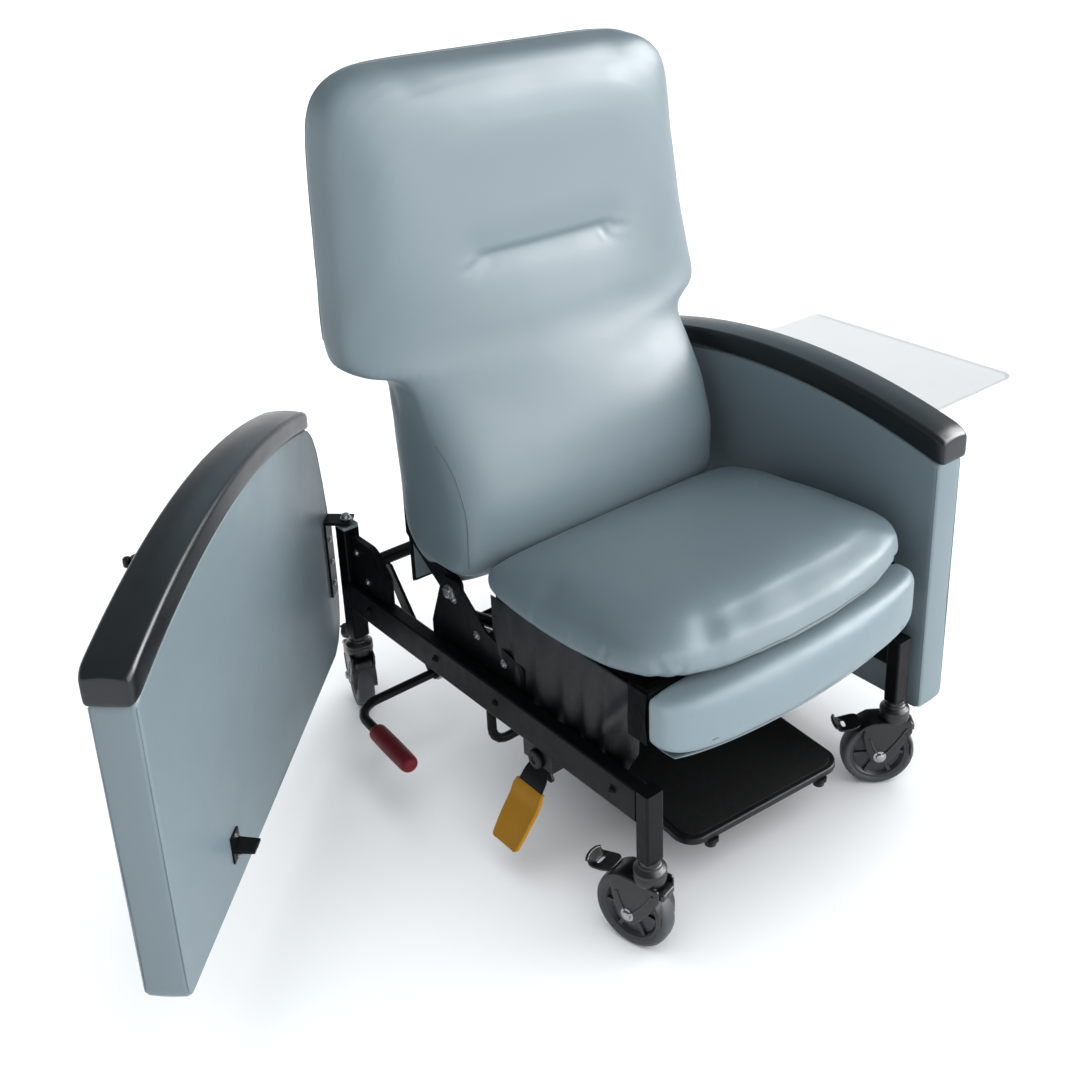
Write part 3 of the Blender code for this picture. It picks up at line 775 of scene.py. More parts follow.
def back_hold(p):
    """How firmly the cover is held: at the rear, in the T's notch and at the foot."""
    z = min(1.205, max(0.374, p.z))
    rear = smooth01((p.y - back_r(z) + 0.03) / 0.02)
    notch = math.exp(-((p.z - 0.739) / 0.02) ** 2) * smooth01((abs(p.x) - 0.26) / 0.02)
    foot = 1.0 - smooth01((p.z - 0.44) / 0.04)
    return max(rear, 0.85 * notch, foot)


back = back_shape("back_cushion_cover", 0.008)
inflate(back, 0.0068, 4.0, back_hold, 0.024, 44)
relax(back, 4)
fit_box(back, (-0.373, 0.043, 0.3755), (0.373, 0.355, 1.2085))
for v in back.data.vertices:
    p = v.co - ORIGIN
    wrap = smooth01((abs(p.x) - 0.246) / 0.018) * smooth01((p.y - 0.19) / 0.06)
    v.co.y += 0.015 * wrap * smooth01((p.z - 0.395) / 0.03) * (1 - smooth01((p.z - 0.68) / 0.06))
apply_subdivision(back)

TUFT = ((-0.134, 0.911), (0.128, 0.913))


def back_field(p, n):
    """The tuft across the head rest with its creases, and folds under the T."""
    d = 0.0
    q = (p.x, p.z)
    if n.y < -0.25:
        a, b = TUFT
        ab = (b[0] - a[0], b[1] - a[1])
        t = ((q[0] - a[0]) * ab[0] + (q[1] - a[1]) * ab[1]) / (ab[0] ** 2 + ab[1] ** 2)
        tc = min(1.0, max(0.0, t))
        dx = q[0] - a[0] - tc * ab[0]
        dz = q[1] - a[1] - tc * ab[1]
        dist = math.hypot(dx, dz)
        end = smooth01(min(t + 0.08, 1.08 - t) / 0.16)
        tight = math.exp(-(dz / (0.0075 if dz > 0 else 0.02)) ** 2) * end
        broad = math.exp(-(dist / 0.036) ** 2)
        d += -0.0048 * tight - 0.0052 * broad
        d += crease(q, (-0.128, 0.906), (-0.176, 0.89), 0.0012, 0.0075)
        d += crease(q, (-0.112, 0.898), (-0.16, 0.88), 0.001, 0.007)
        d += crease(q, (0.112, 0.911), (0.124, 0.894), 0.0014, 0.007)
        d += crease(q, (0.122, 0.91), (0.166, 0.902), 0.001, 0.0075)
    side = abs(p.x)
    if side > 0.2 and p.z < 0.8:
        d += crease((p.y, p.z), (0.205, 0.735), (0.17, 0.69), 0.0014, 0.01)
        d += crease((p.y, p.z), (0.24, 0.725), (0.225, 0.68), 0.0012, 0.01)
    d += 0.0012 * noise.noise(Vector((p.x * 4.5, p.y * 4.5, p.z * 4.5 + 7.0)))
    return d


displace(back, back_field)
belong(back, "back", "back_cushion")
back_skin = Surface(back)

for side, s in SIDES:
    line = []
    for k in range(61):
        z = 0.445 + (0.65 - 0.445) * k / 60
        y = back_f(z) + 0.03 + 0.03 * smooth01((z - 0.6) / 0.13)
        start = (s * 0.5, y, z)
        line.append(back_skin.hit(start, (-s, 0, 0), 0.0001))
    piping("back_side_seam_" + side, smooth_path(line, 3), 0.0011, "back", closed=False)
# seam near the rear edge, up one side, over the top and down the other
SEAM_LOW = 0.805
SEAM_HIGH = 1.135
rim = []
for k in range(81):
    z = SEAM_LOW + (SEAM_HIGH - SEAM_LOW) * k / 80
    rim.append(back_skin.hit((0.6, back_r(z) - 0.03, z), (-1, 0, 0), 0.0))
for k in range(1, 80):
    a = math.pi * k / 80
    c = math.cos(a)
    u = Vector((signed_power(c, 0.55), 0, math.sin(a) ** 0.8))
    start = Vector((0.34 * u.x, 0.318, 1.13 + 0.1 * u.z))
    rim.append(back_skin.hit(start + Vector((u.x, 0, u.z)) * 0.2, -Vector((u.x, 0, u.z)), 0.0))
for k in range(81):
    z = SEAM_HIGH - (SEAM_HIGH - SEAM_LOW) * k / 80
    rim.append(back_skin.hit((-0.6, back_r(z) - 0.03, z), (1, 0, 0), 0.0))
piping("back_rear_seam", smooth_path(rim, 4), 0.0012, "back", closed=False)

# ------------------------------------------------------------------ rear panel with its flap
PANEL = ((0.273, 0.335), (0.273, 0.66), (0.297, 0.735), (0.319, 0.79), (0.331, 0.9),
         (0.346, 1.02), (0.356, 1.11))
panel_y = pchip([p[1] for p in PANEL], [p[0] for p in PANEL])
PANEL_LOW = 0.3355
PANEL_HIGH = 1.1095
PANEL_HALF = 0.2495


def panel_point(u, v, layer):
    """Flat front face, gently filled rear face, thinner towards the bound edge."""
    z = PANEL_LOW + (PANEL_HIGH - PANEL_LOW) * u
    x = PANEL_HALF * (2 * v - 1)
    near_side = 1 - smooth01((PANEL_HALF - abs(x)) / 0.016)
    near_end = 1 - smooth01(min(z - PANEL_LOW, PANEL_HIGH - z) / 0.016)
    thick = 0.008 - 0.0034 * max(near_side, near_end)
    puff = 0.0016 * math.sin(math.pi * v) * math.sin(math.pi * u)
    ripple = 0.0009 * noise.noise(Vector((x * 7, 3.0, z * 7)))
    return x, panel_y(z) + (thick + puff + ripple if layer else 0.0006), z


verts, faces = shell(66, 34, panel_point)
panel = add_mesh("back_panel_cover", verts, faces, VINYL, 50)
subdivide(panel)
belong(panel, "back", "back_panel")
edge = []
for k in range(60):
    z = 0.336 + (1.106 - 0.336) * k / 59
    edge.append(Vector((-0.249, panel_y(z) + 0.004, z)))
right = [Vector((-p.x, p.y, p.z)) for p in reversed(edge)]
top = [Vector((x, panel_y(1.1085) + 0.004, 1.1085)) for x in np.linspace(-0.243, 0.243, 20)]
foot = [Vector((x, panel_y(0.3362) + 0.004, 0.3362)) for x in np.linspace(0.243, -0.243, 20)]
binding = tube("back_panel_binding", smooth_path(edge + top + right + foot, 1), 0.0034, CLOTH, 10,
               closed=True)
belong(binding, "back")
pull = []
for x in np.linspace(-0.236, 0.236, 80):
    pull.append((x, panel_y(0.69) + 0.01, 0.69 + 0.0004 * math.sin(x * 60)))
piping("back_panel_seam", pull, 0.0013, "back", closed=False)
stitches("back_panel_stitch", [(x, y + 0.0004, z + 0.006) for x, y, z in pull], "back")

# ------------------------------------------------------------------ leg rest pad
def pad_front(x):
    """The pad's bowed front as y over x."""
    t = math.asin(max(-1.0, min(1.0, x / 0.279)))
    return -0.376 - 0.054 * math.cos(t)


def pad_shape(name, inset):
    """Bowed block with rolled top and bottom edges, built as sections along x."""
    rings = []
    count = 60
    for i in range(count):
        t = -math.cos(math.pi * i / (count - 1))
        x = (0.2785 - inset) * t
        end = math.sqrt(max(0.0, 1 - abs(t) ** 14))
        bow = math.cos(t * math.pi / 2) ** 0.8 if abs(t) < 1 else 0.0
        y1 = -0.3388 - 0.2 * inset
        y0 = pad_front(x / max(1e-6, 0.2785 - inset) * 0.2785) + inset
        z1 = 0.437 - inset
        z0 = 0.344 - 0.005 * bow + inset * 0.6
        cz = (z0 + z1) / 2
        hz = (z1 - z0) / 2 * (0.72 + 0.28 * end)
        y0 = y1 + (y0 - y1) * (0.8 + 0.2 * end)
        outline = fillet([(y1, cz - hz), (y1, cz + hz), (y0, cz + hz), (y0, cz - hz)],
                         [0.004, 0.004, 0.016, 0.013], 6)
        outline = resample(outline, (2 * (y1 - y0) + 4 * hz) / 64)
        while len(outline) < 64:
            outline.append(outline[-1])
        rings.append([(x, a, b) for a, b in outline[:64]])
    return loft(name, rings, VINYL)


def pad_hold(p):
    return smooth01((p.y + 0.356) / 0.01)


pad = pad_shape("leg_rest_cover", 0.004)
inflate(pad, 0.005, 3.2, pad_hold, 0.0075)
relax(pad, 3)
apply_subdivision(pad)
displace(pad, lambda p, n: 0.0006 * noise.noise(Vector((p.x * 7.0, p.y * 9.0, p.z * 9.0))))
belong(pad, "leg_rest", "leg_rest_pad")
pad_skin = Surface(pad)

line = [pad_skin.hit((x, -0.6, 0.346 - 0.004 * math.cos(x * 5.4)), (0, 1, 0), 0.0)
        for x in np.linspace(-0.262, 0.262, 90)]
piping("leg_rest_lower_welt", smooth_path(line, 3), 0.0013, "leg_rest", closed=False)


def lining_point(u, v, layer):
    """Pale lining under the pad, wrapped round the board."""
    x = 0.256 * (2 * u - 1)
    y = -0.33 + (pad_front(x) + 0.02 + 0.33) * v
    z = 0.3405 - 0.002 * math.sin(math.pi * v) - 0.005 * math.cos(x * 5.6) * smooth01(v * 2)
    return x, y, z - 0.0018 * layer


verts, faces = shell(36, 10, lining_point)
lining = add_mesh("leg_rest_lining", verts, faces, VINYL)
belong(lining, "leg_rest")


def gusset_point(u, v, layer):
    """Soft cloth closing the sides of the leg rest, gathered behind the pad."""
    bulge = math.sin(math.pi * v)
    fold = 0.0022 * math.sin(u * 9.0 + v * 2.0) * bulge
    return 0.27 + 0.0015 * bulge + fold + 0.0012 * layer, -0.3375 + 0.04 * u, 0.344 + 0.086 * v


for side, s in SIDES:
    verts, faces = shell(26, 16, gusset_point)
    verts = [(s * x, y, z) for x, y, z in verts]
    cheek = add_mesh("leg_rest_gusset_" + side, verts, faces, CLOTH)
    subdivide(cheek)
    belong(cheek, "leg_rest")

# ------------------------------------------------------------------ swing-away arms
ARM_IN = 0.3176
ARM_T = 0.0606
ARM_FRONT = -0.374
ARM_FOOT = 0.134
CAP_NOSE = -0.382
CAP_TAIL = 0.402
TRAY_X = 0.3862
TRAY_Z = 0.605


def arch(y):
    """Height of the arm's top edge."""
    return 0.6555 + 0.0122 * y - 0.4053 * y * y


# outline of the arm in (y, z): front foot, arched top, rounded rear
ARM_SIDE = [(ARM_FRONT, ARM_FOOT)]
for k in range(41):
    y = ARM_FRONT + 0.764 * k / 40
    ARM_SIDE.append((y, arch(y)))
ARM_SIDE += [(.415, .574), (.433, .538), (.448, .468), (.46, .39), (.471, .3),
             (.473, .26), (.468, .21), (.458, .174), (.438, .148), (.41, ARM_FOOT)]
ARM_SIDE = fillet(ARM_SIDE, [0.0095, 0.0095] + [0.0] * (len(ARM_SIDE) - 2), 5)
ARM_OUTLINE = resample(ARM_SIDE, 0.0075)
ARM_PLACE = {"left": turn_about(-POST_X, REAR_Y, ARM_OPEN), "right": Matrix.Identity(4)}


def arm_panel(name, s, matrix):
    """Padded slab: crowned faces, small rolled edges and a soft front boxing."""
    outline = ARM_OUTLINE
    cx = sum(p[0] for p in outline) / len(outline)
    cz = sum(p[1] for p in outline) / len(outline)
    r = 0.007
    lo = ARM_IN
    hi = ARM_IN + ARM_T
    rings = []
    tight = offset_outline(outline, r)

    def face_ring(scale, x):
        return [(s * x, cx + (u - cx) * scale, cz + (v - cz) * scale) for u, v in tight]

    crown = 0.0016
    faces_in = (0.02, 0.1, 0.2, 0.3, 0.4, 0.5, 0.6, 0.7, 0.8, 0.88, 0.94, 0.98)
    for f in faces_in:
        rings.append(face_ring(f, lo + 0.0002 - crown * (1 - f * f) * 0.3))
    for k in range(6):
        a = math.pi / 2 * k / 5
        edge = offset_outline(outline, r - r * math.sin(a))
        rings.append([(s * (lo + r - r * math.cos(a)), u, v) for u, v in edge])
    for f in (0.35, 0.65):
        x = lo + r + (hi - lo - 2 * r) * f
        rings.append([(s * x, u, v) for u, v in offset_outline(outline, -0.0008)])
    for k in range(5, -1, -1):
        a = math.pi / 2 * k / 5
        edge = offset_outline(outline, r - r * math.sin(a))
        rings.append([(s * (hi - r + r * math.cos(a)), u, v) for u, v in edge])
    for f in reversed(faces_in):
        rings.append(face_ring(f, hi - 0.0002 + crown * (1 - f * f)))
    return loft(name, rings, VINYL, None, matrix)


def arm_waves(matrix):
    """Slight unevenness of the upholstery, the same for an open and a shut arm."""
    back_to = matrix.inverted()

    def field(p, n):
        q = back_to @ p
        w = 0.001 * noise.noise(Vector((q.x * 3, q.y * 5.0, q.z * 5.0)))
        w += 0.0005 * noise.noise(Vector((q.x * 3 + 9, q.y * 15.0, q.z * 12.0)))
        if abs(n.z) > 0.7 and q.z > 0.3:
            return 0.0
        return w
    return field


for side, s in SIDES:
    M = ARM_PLACE[side]
    body = "arm_" + side
    panel_obj = arm_panel("arm_pad_" + side, s, M)
    displace(panel_obj, arm_waves(M))
    belong(panel_obj, body, "arm_panel_" + side)
    # welts where the boxing meets the two faces, front and rear and underside
    for tag, x in (("inner", ARM_IN + 0.0012), ("outer", ARM_IN + ARM_T - 0.0012)):
        inset = offset_outline(ARM_OUTLINE, 0.0018)
        line = [Vector((s * x, u, v)) for u, v in inset if v < arch(u) - 0.0045 or u > 0.395]
        start = max(range(len(line)), key=lambda i: (line[i] - line[i - 1]).length)
        line = line[start:] + line[:start]
        piping("arm_welt_" + tag + "_" + side, smooth_path(line, 1), 0.0011, body, VINYL, M, False)

    # cap: solid moulded shape with a flat-ish crown, blunt nose and a shadow lip underneath
    c0 = ARM_IN - 0.004
    c1 = ARM_IN + ARM_T + 0.005
    half = (c1 - c0) / 2
    mid = (c0 + c1) / 2
    rings = []
    stations = [-0.382, -0.3815, -0.3795, -0.376, -0.371, -0.365, -0.357]
    stations += list(np.linspace(-0.345, 0.37, 44))
    stations += [0.379, 0.387, 0.393, 0.398, 0.4005, 0.4018]
    for y in stations:
        full = 0.046 - 0.018 * (y + 0.2)
        nose = min(1.0, max(0.0, (y - CAP_NOSE) / 0.025))
        tail = min(1.0, max(0.0, (CAP_TAIL - y) / 0.025))
        nn = math.sqrt(max(0.0, 1 - (1 - nose) ** 2))
        tt = math.sqrt(max(0.0, 1 - (1 - tail) ** 2))
        drop = 0.011 * (1 - nn) + 0.011 * (1 - tt)
        pull = 0.007 * (1 - nn) + 0.008 * (1 - tt)
        base = arch(max(y, ARM_FRONT)) + 0.0006
        h = full - drop
        w = half - pull
        lip = 0.003
        r = min(0.0085, h * 0.3)
        left = [(-w + lip + 0.003, 0.0), (-w + lip, 0.0004), (-w + 0.0008, lip), (-w, lip + 0.003)]
        for k in range(9):
            a = math.pi / 2 * k / 8
            left.append((-w + r - r * math.cos(a), h - r + r * math.sin(a) - 0.0028))
        for f in (-0.45, -0.15):
            left.append(((w - r) * f / 0.62, h - 0.0028 * (f / 0.62) ** 2 - 0.0002))
        ring = left + [(-u, v) for u, v in reversed(left)]
        rings.append([(s * (mid + u), y, base + v) for u, v in ring])
    cap = loft("arm_cap_skin_" + side, rings, CAP, None, M)
    cap.data.set_sharp_from_angle(angle=math.radians(70))
    subdivide(cap)
    belong(cap, body, "arm_cap_" + side)

    # latch striker: folded ear with a hole, on a screwed base
    inward, outward = ("-X", "+X") if s > 0 else ("+X", "-X")
    for z in (0.185, 0.219):
        bolt("striker_screw_%s_%d" % (side, int(z * 1000)), s * (ARM_IN - 0.0034), -0.164, z, inward,
             0.0024, STEEL, body, M)
    eye = ring_turned("striker_eye_" + side,
                      [(0.0042, -0.0026), (0.0074, -0.0026), (0.008, -0.0018), (0.008, 0.0018),
                       (0.0074, 0.0026), (0.0042, 0.0026)], PAINT, "Z", 28,
                      M @ at(s * 0.2915, -0.164, 0.201))
    belong(eye, body)

    # hinge knuckles round the rear post and screws on the strap
    for z in (0.272, 0.315, 0.36):
        bolt("hinge_screw_%s_%d" % (side, int(z * 1000)), s * (ARM_IN - 0.0044), 0.4385, z, inward,
             0.0034, STEEL, body, M)
    pin = turned("hinge_pin_" + side,
                 [(0, 0.403), (0.0105, 0.403), (0.0105, 0.4046), (0.008, 0.4062), (0.0076, 0.41),
                  (0.006, 0.412), (0.003, 0.4126), (0, 0.4126)], STEEL, "Z", 28,
                 M @ at(s * POST_X, REAR_Y, 0))
    belong(pin, body)

    # tray bracket screws
    for y in (-0.134, -0.0355):
        bolt("bracket_screw_%s_%d" % (side, int(abs(y) * 1000)), s * (ARM_IN + ARM_T + 0.0044), y, 0.5655,
             outward, 0.0036, STEEL, body, M)

    # tray
    fold = Matrix.Identity(4)
    if s < 0:
        fold = at(-TRAY_X, 0, TRAY_Z) @ Matrix.Rotation(math.radians(-90), 4, "Y") @ at(TRAY_X, 0, -TRAY_Z)
    T = M @ fold
    edge = fillet(rectangle(s * 0.394, -0.292, s * 0.6598, 0.181), [0.012, 0.03, 0.03, 0.012], 10)
    levels = [(0.6138, 0.01), (0.6138, 0.0045), (0.6144, 0.0022), (0.616, 0.0006), (0.6185, 0.0),
              (0.6225, 0.0), (0.6244, 0.0008), (0.6254, 0.0022), (0.6258, 0.0042), (0.6256, 0.0064),
              (0.6246, 0.0086), (0.6238, 0.0112), (0.6236, 0.014)]
    tray = slab("tray_top_" + side, edge, "Z", levels, TRAY, 50, T)
    belong(tray, "tray_" + side, "side_tray_" + side)
    barrel = turned("tray_knuckle_" + side,
                    [(0, -0.0188), (0.0046, -0.0188), (0.0054, -0.0176), (0.0054, 0.0486), (0.0046, 0.0498),
                     (0, 0.0498)], BLACK, "Y", 28, T @ at(s * TRAY_X, 0, TRAY_Z))
    belong(barrel, "tray_" + side)
    rib = slab("tray_rib_" + side, fillet(rectangle(s * 0.3875, -0.018, s * 0.52, 0.048), 0.004, 5), "Z",
               [(0.6088, 0.003), (0.6092, 0.001), (0.61, 0.0), (0.6141, 0.0)], BLACK, 50, T)
    belong(rib, "tray_" + side)
    for x in (0.42, 0.5):
        for y in (0.0, 0.03):
            bolt(f"tray_screw_{side}_{int(x * 1000)}_{int(y * 1000)}", s * x, y, 0.6089, "-Z", 0.0028,
                 STEEL, "tray_" + side, T)
    rod = tube("tray_rod_" + side, [(s * TRAY_X, -0.15, TRAY_Z), (s * TRAY_X, -0.0192, TRAY_Z)],
               0.0056, PAINT, 16, M)
    belong(rod, body)
    # small release knob behind the cap, on a pale spacer
    knob = turned("tray_release_" + side,
                  both_ends([(0, -0.007), (0.0042, -0.0068), (0.0056, -0.0052)], [(0.006, 0.0)]), BLACK, "Z",
                  24, M @ at(s * 0.401, -0.162, 0.66))
    spacer = tube("tray_release_arm_" + side,
                  [(s * 0.379, -0.118, 0.652), (s * 0.392, -0.133, 0.659), (s * 0.399, -0.15, 0.661),
                   (s * 0.4005, -0.16, 0.66)], 0.0024, GREY, 10, M)
    for obj in (knob, spacer):
        belong(obj, body)

# ------------------------------------------------------------------ casters
CORNERS = {"front_left": (-1, FRONT_Y, 14.0), "front_right": (1, FRONT_Y, 52.0),
           "rear_left": (-1, REAR_Y, -20.0), "rear_right": (1, REAR_Y, 8.0)}
TRAIL = 0.026
R = 0.0625


def holed_plate(name, outer, inner, axis, lo, hi, mat, matrix=None, shape=None):
    """Plate with one opening; outer and inner rings have the same number of points."""
    lift = AXES[axis]
    n = len(outer)
    verts = [lift(u, v, lo) for u, v in outer] + [lift(u, v, lo) for u, v in inner]
    verts += [lift(u, v, hi) for u, v in outer] + [lift(u, v, hi) for u, v in inner]
    if shape:
        verts = [shape(v) for v in verts]
    faces = []
    for j in range(n):
        k = (j + 1) % n
        faces.append((j, k, n + k, n + j))
        faces.append((2 * n + j, 3 * n + j, 3 * n + k, 2 * n + k))
        faces.append((j, 2 * n + j, 2 * n + k, k))
        faces.append((n + j, n + k, 3 * n + k, 3 * n + j))
    obj = add_mesh(name, verts, faces, mat, 45, matrix)
    bevel(obj, 0.0009, 40)
    return obj


def hood_profile():
    """Fender outline over the wheel, as (y, z) outside points from front to rear."""
    pts = []
    for k in range(25):
        a = math.radians(176 - 128 * k / 24)
        y = TRAIL + 0.0745 * math.cos(a) * 0.8
        z = 0.06 + 0.0725 * math.sin(a)
        pts.append((max(y, -0.029), min(z, 0.1304)))
    return pts


TYRE = both_ends([(0.047, -0.0128), (0.05, -0.015), (0.0545, -0.016), (0.0585, -0.0146), (0.0612, -0.011),
                  (0.0622, -0.0062)], [(0.0625, 0.0)])
CORE = both_ends([(0.011, -0.0148), (0.015, -0.0148), (0.0162, -0.0136), (0.0176, -0.008), (0.04, -0.0074),
                  (0.0428, -0.0118), (0.0446, -0.0138), (0.0484, -0.0142)])
BEARING = both_ends([(0, -0.0168), (0.007, -0.0168), (0.0088, -0.016), (0.0112, -0.0156)])
CHEEK = fillet([(-0.027, 0.129), (-0.0275, 0.108), (-0.006, 0.072), (0.012, 0.05), (0.026, 0.0445),
                (0.04, 0.051), (0.05, 0.078), (0.056, 0.105), (0.054, 0.121), (0.044, 0.129)],
               [0.004, 0.012, 0.02, 0.01, 0.012, 0.012, 0.02, 0.012, 0.008, 0.006], 4)
for corner, (s, cy, yaw) in CORNERS.items():
    W = turn_about(s * POST_X, cy, yaw) @ at(s * POST_X, cy, 0)
    body = "swivel_" + corner
    parts = []
    for tag, k in (("a", -1), ("b", 1)):
        cheek = slab("fork_cheek_%s_%s" % (tag, corner), CHEEK, "X",
                     [(k * 0.0182, 0.001), (k * 0.0186, 0.0), (k * 0.0212, 0.0), (k * 0.0222, 0.0008),
                      (k * 0.0225, 0.0024)], FORK, 45, W)
        parts.append(cheek)
        rib = tube("fork_rib_%s_%s" % (tag, corner),
                   smooth_path([(k * 0.0222, -0.018, 0.118), (k * 0.0224, 0.0, 0.086),
                                (k * 0.0224, 0.018, 0.064), (k * 0.0224, 0.026, 0.06),
                                (k * 0.0224, 0.036, 0.066), (k * 0.0222, 0.045, 0.1)], 2),
                   0.002, FORK, 8, W)
        parts.append(rib)
        nut = turned("axle_nut_%s_%s" % (tag, corner),
                     [(0, k * 0.0215), (0.011, k * 0.0215), (0.011, k * 0.0232), (0.0095, k * 0.0238),
                      (0.0072, k * 0.024), (0.0068, k * 0.0268), (0.0052, k * 0.0278), (0, k * 0.028)],
                     STEEL if tag == "a" else FORK, "X", 24, W @ at(0, TRAIL, R))
        parts.append(nut)
    rings = []
    section = hood_profile()
    for x, drop in ((-0.0225, 0.004), (-0.0216, 0.0012), (-0.019, 0.0), (0.0, -0.0004), (0.019, 0.0),
                    (0.0216, 0.0012), (0.0225, 0.004)):
        outer = [(y - (y - TRAIL) * drop * 6, z - drop) for y, z in section]
        inner = [(TRAIL + (y - TRAIL) * 0.945, z - 0.004) for y, z in reversed(section)]
        rings.append([(x, y, z) for y, z in outer + inner])
    hood = loft("fork_hood_" + corner, rings, FORK, 40, W)
    parts.append(hood)
    housing = turned("fork_housing_" + corner,
                     [(0, 0.1262), (0.0235, 0.1262), (0.0245, 0.129), (0.025, 0.133), (0.025, 0.14),
                      (0.0242, 0.1412), (0.0242, 0.1424), (0.025, 0.1436), (0.025, 0.1464), (0.024, 0.1482),
                      (0.0185, 0.152), (0.0175, 0.1538), (0.0175, 0.156), (0.016, 0.1572), (0.0158, 0.1632),
                      (0.0148, 0.1638), (0, 0.1638)], FORK, "Z", 36, W)
    parts.append(housing)
    nib = slab("fork_stop_" + corner, fillet([(-0.015, -0.033), (0.015, -0.033), (0.017, -0.018),
                                              (-0.017, -0.018)], 0.004, 4), "Z",
               [(0.1085, 0.0018), (0.1092, 0.0004), (0.11, 0.0), (0.119, 0.0), (0.12, 0.0012)], FORK, 45, W)
    parts.append(nib)
    for obj in parts:
        belong(obj, body)
    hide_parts("caster_fork_" + corner)

    A = W @ at(0, TRAIL, R)
    tyre = ring_turned("tyre_" + corner, TYRE, RUBBER, "X", 72, A)
    core = ring_turned("wheel_core_" + corner, CORE, HUB, "X", 72, A)
    hub = turned("wheel_bearing_" + corner, BEARING, STEEL, "X", 28, A)
    rolling = [tyre, core, hub]
    for side_x in (-1, 1):
        verts = []
        faces = []
        for k in range(6):
            a = 2 * math.pi * k / 6
            d = Vector((0, math.cos(a), math.sin(a)))
            t = Vector((0, -math.sin(a), math.cos(a)))
            base = len(verts)
            for r, w, h in ((0.016, 0.0052, 0.0122), (0.028, 0.004, 0.0104), (0.0425, 0.0046, 0.012)):
                for q, hh in ((-1, 0.007), (-0.7, h), (0.7, h), (1, 0.007)):
                    p = d * r + t * (w * q)
                    verts.append((side_x * hh, p.y, p.z))
            faces += prism_faces(base, 3, 4)
        tag = "a" if side_x < 0 else "b"
        rolling.append(add_mesh(f"wheel_spokes_{tag}_{corner}", verts, faces, HUB, 30, A))
    for obj in rolling:
        belong(obj, "wheel_" + corner)
    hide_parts("wheel_" + corner)

    # brake pedal: bent plate with a slot and an upturned toe
    outer = []
    inner = []
    for k in range(40):
        a = 2 * math.pi * (k + 0.5) / 40
        c = math.cos(a)
        q = math.sin(a)
        outer.append((0.0205 * signed_power(c, 0.55), 0.0815 + 0.0235 * signed_power(q, 0.5)))
        inner.append((0.0095 * signed_power(c, 0.7), 0.0865 + 0.0036 * signed_power(q, 0.8)))

    def toe(v):
        x, y, z = v
        t = (y - 0.058) / 0.047
        lift = -0.0062 * smooth01(t / 0.75) + 0.0085 * smooth01((t - 0.78) / 0.22)
        narrow = 1.0 - 0.1 * smooth01((t - 0.5) / 0.5)
        return (x * narrow, y, z + lift)
    plate = holed_plate("brake_plate_" + corner, outer, inner, "Z", 0.1208, 0.1246, FORK, W, toe)
    belong(plate, "brake_" + corner, "brake_pedal_" + corner)
    toe_bar = tube("brake_toe_" + corner,
                   smooth_path([(-0.0175, 0.1, 0.1222), (-0.012, 0.1036, 0.1248), (0.0, 0.1046, 0.1254),
                                (0.012, 0.1036, 0.1248), (0.0175, 0.1, 0.1222)], 1), 0.0028, FORK, 10, W)
    belong(toe_bar, "brake_" + corner)

# ------------------------------------------------------------------ carried-over metal and plastic nodes
def dress(name, mat, width):
    """Give a CAD node its material and, where it shows, rounded edges."""
    obj = frame["nodes"][name]
    for place in obj.material_slots:
        place.material = mat
    if width:
        bevel(obj, width, 35)


for side in ("left", "right"):
    for name, mat, width in (("side_rail_", PAINT, 0), ("front_post_", PAINT, 0), ("rear_post_", PAINT, 0),
                             ("post_cap_", GREY, 0.001), ("post_gusset_", PAINT, 0.0012),
                             ("mechanism_plate_", PAINT, 0.0008), ("side_apron_", APRON, 0),
                             ("latch_block_", BLACK, 0.002), ("back_bracket_", PAINT, 0.001),
                             ("leg_rest_bar_", PAINT, 0.0014), ("arm_hinge_", PAINT, 0.0008),
                             ("latch_striker_", PAINT, 0.0006), ("tray_bracket_", PAINT, 0.0008)):
        dress(name + side, mat, width)
for name in ("rear_cross_tube", "lever_hanger", "foot_tray_hanger", "foot_lever", "foot_tray_channel"):
    dress(name, PAINT, 0)
dress("seat_deck", BLACK, 0.002)
dress("leg_rest_board", CLOTH, 0.0012)

APRON_LOW = 0.264
APRON_TOP = 0.42
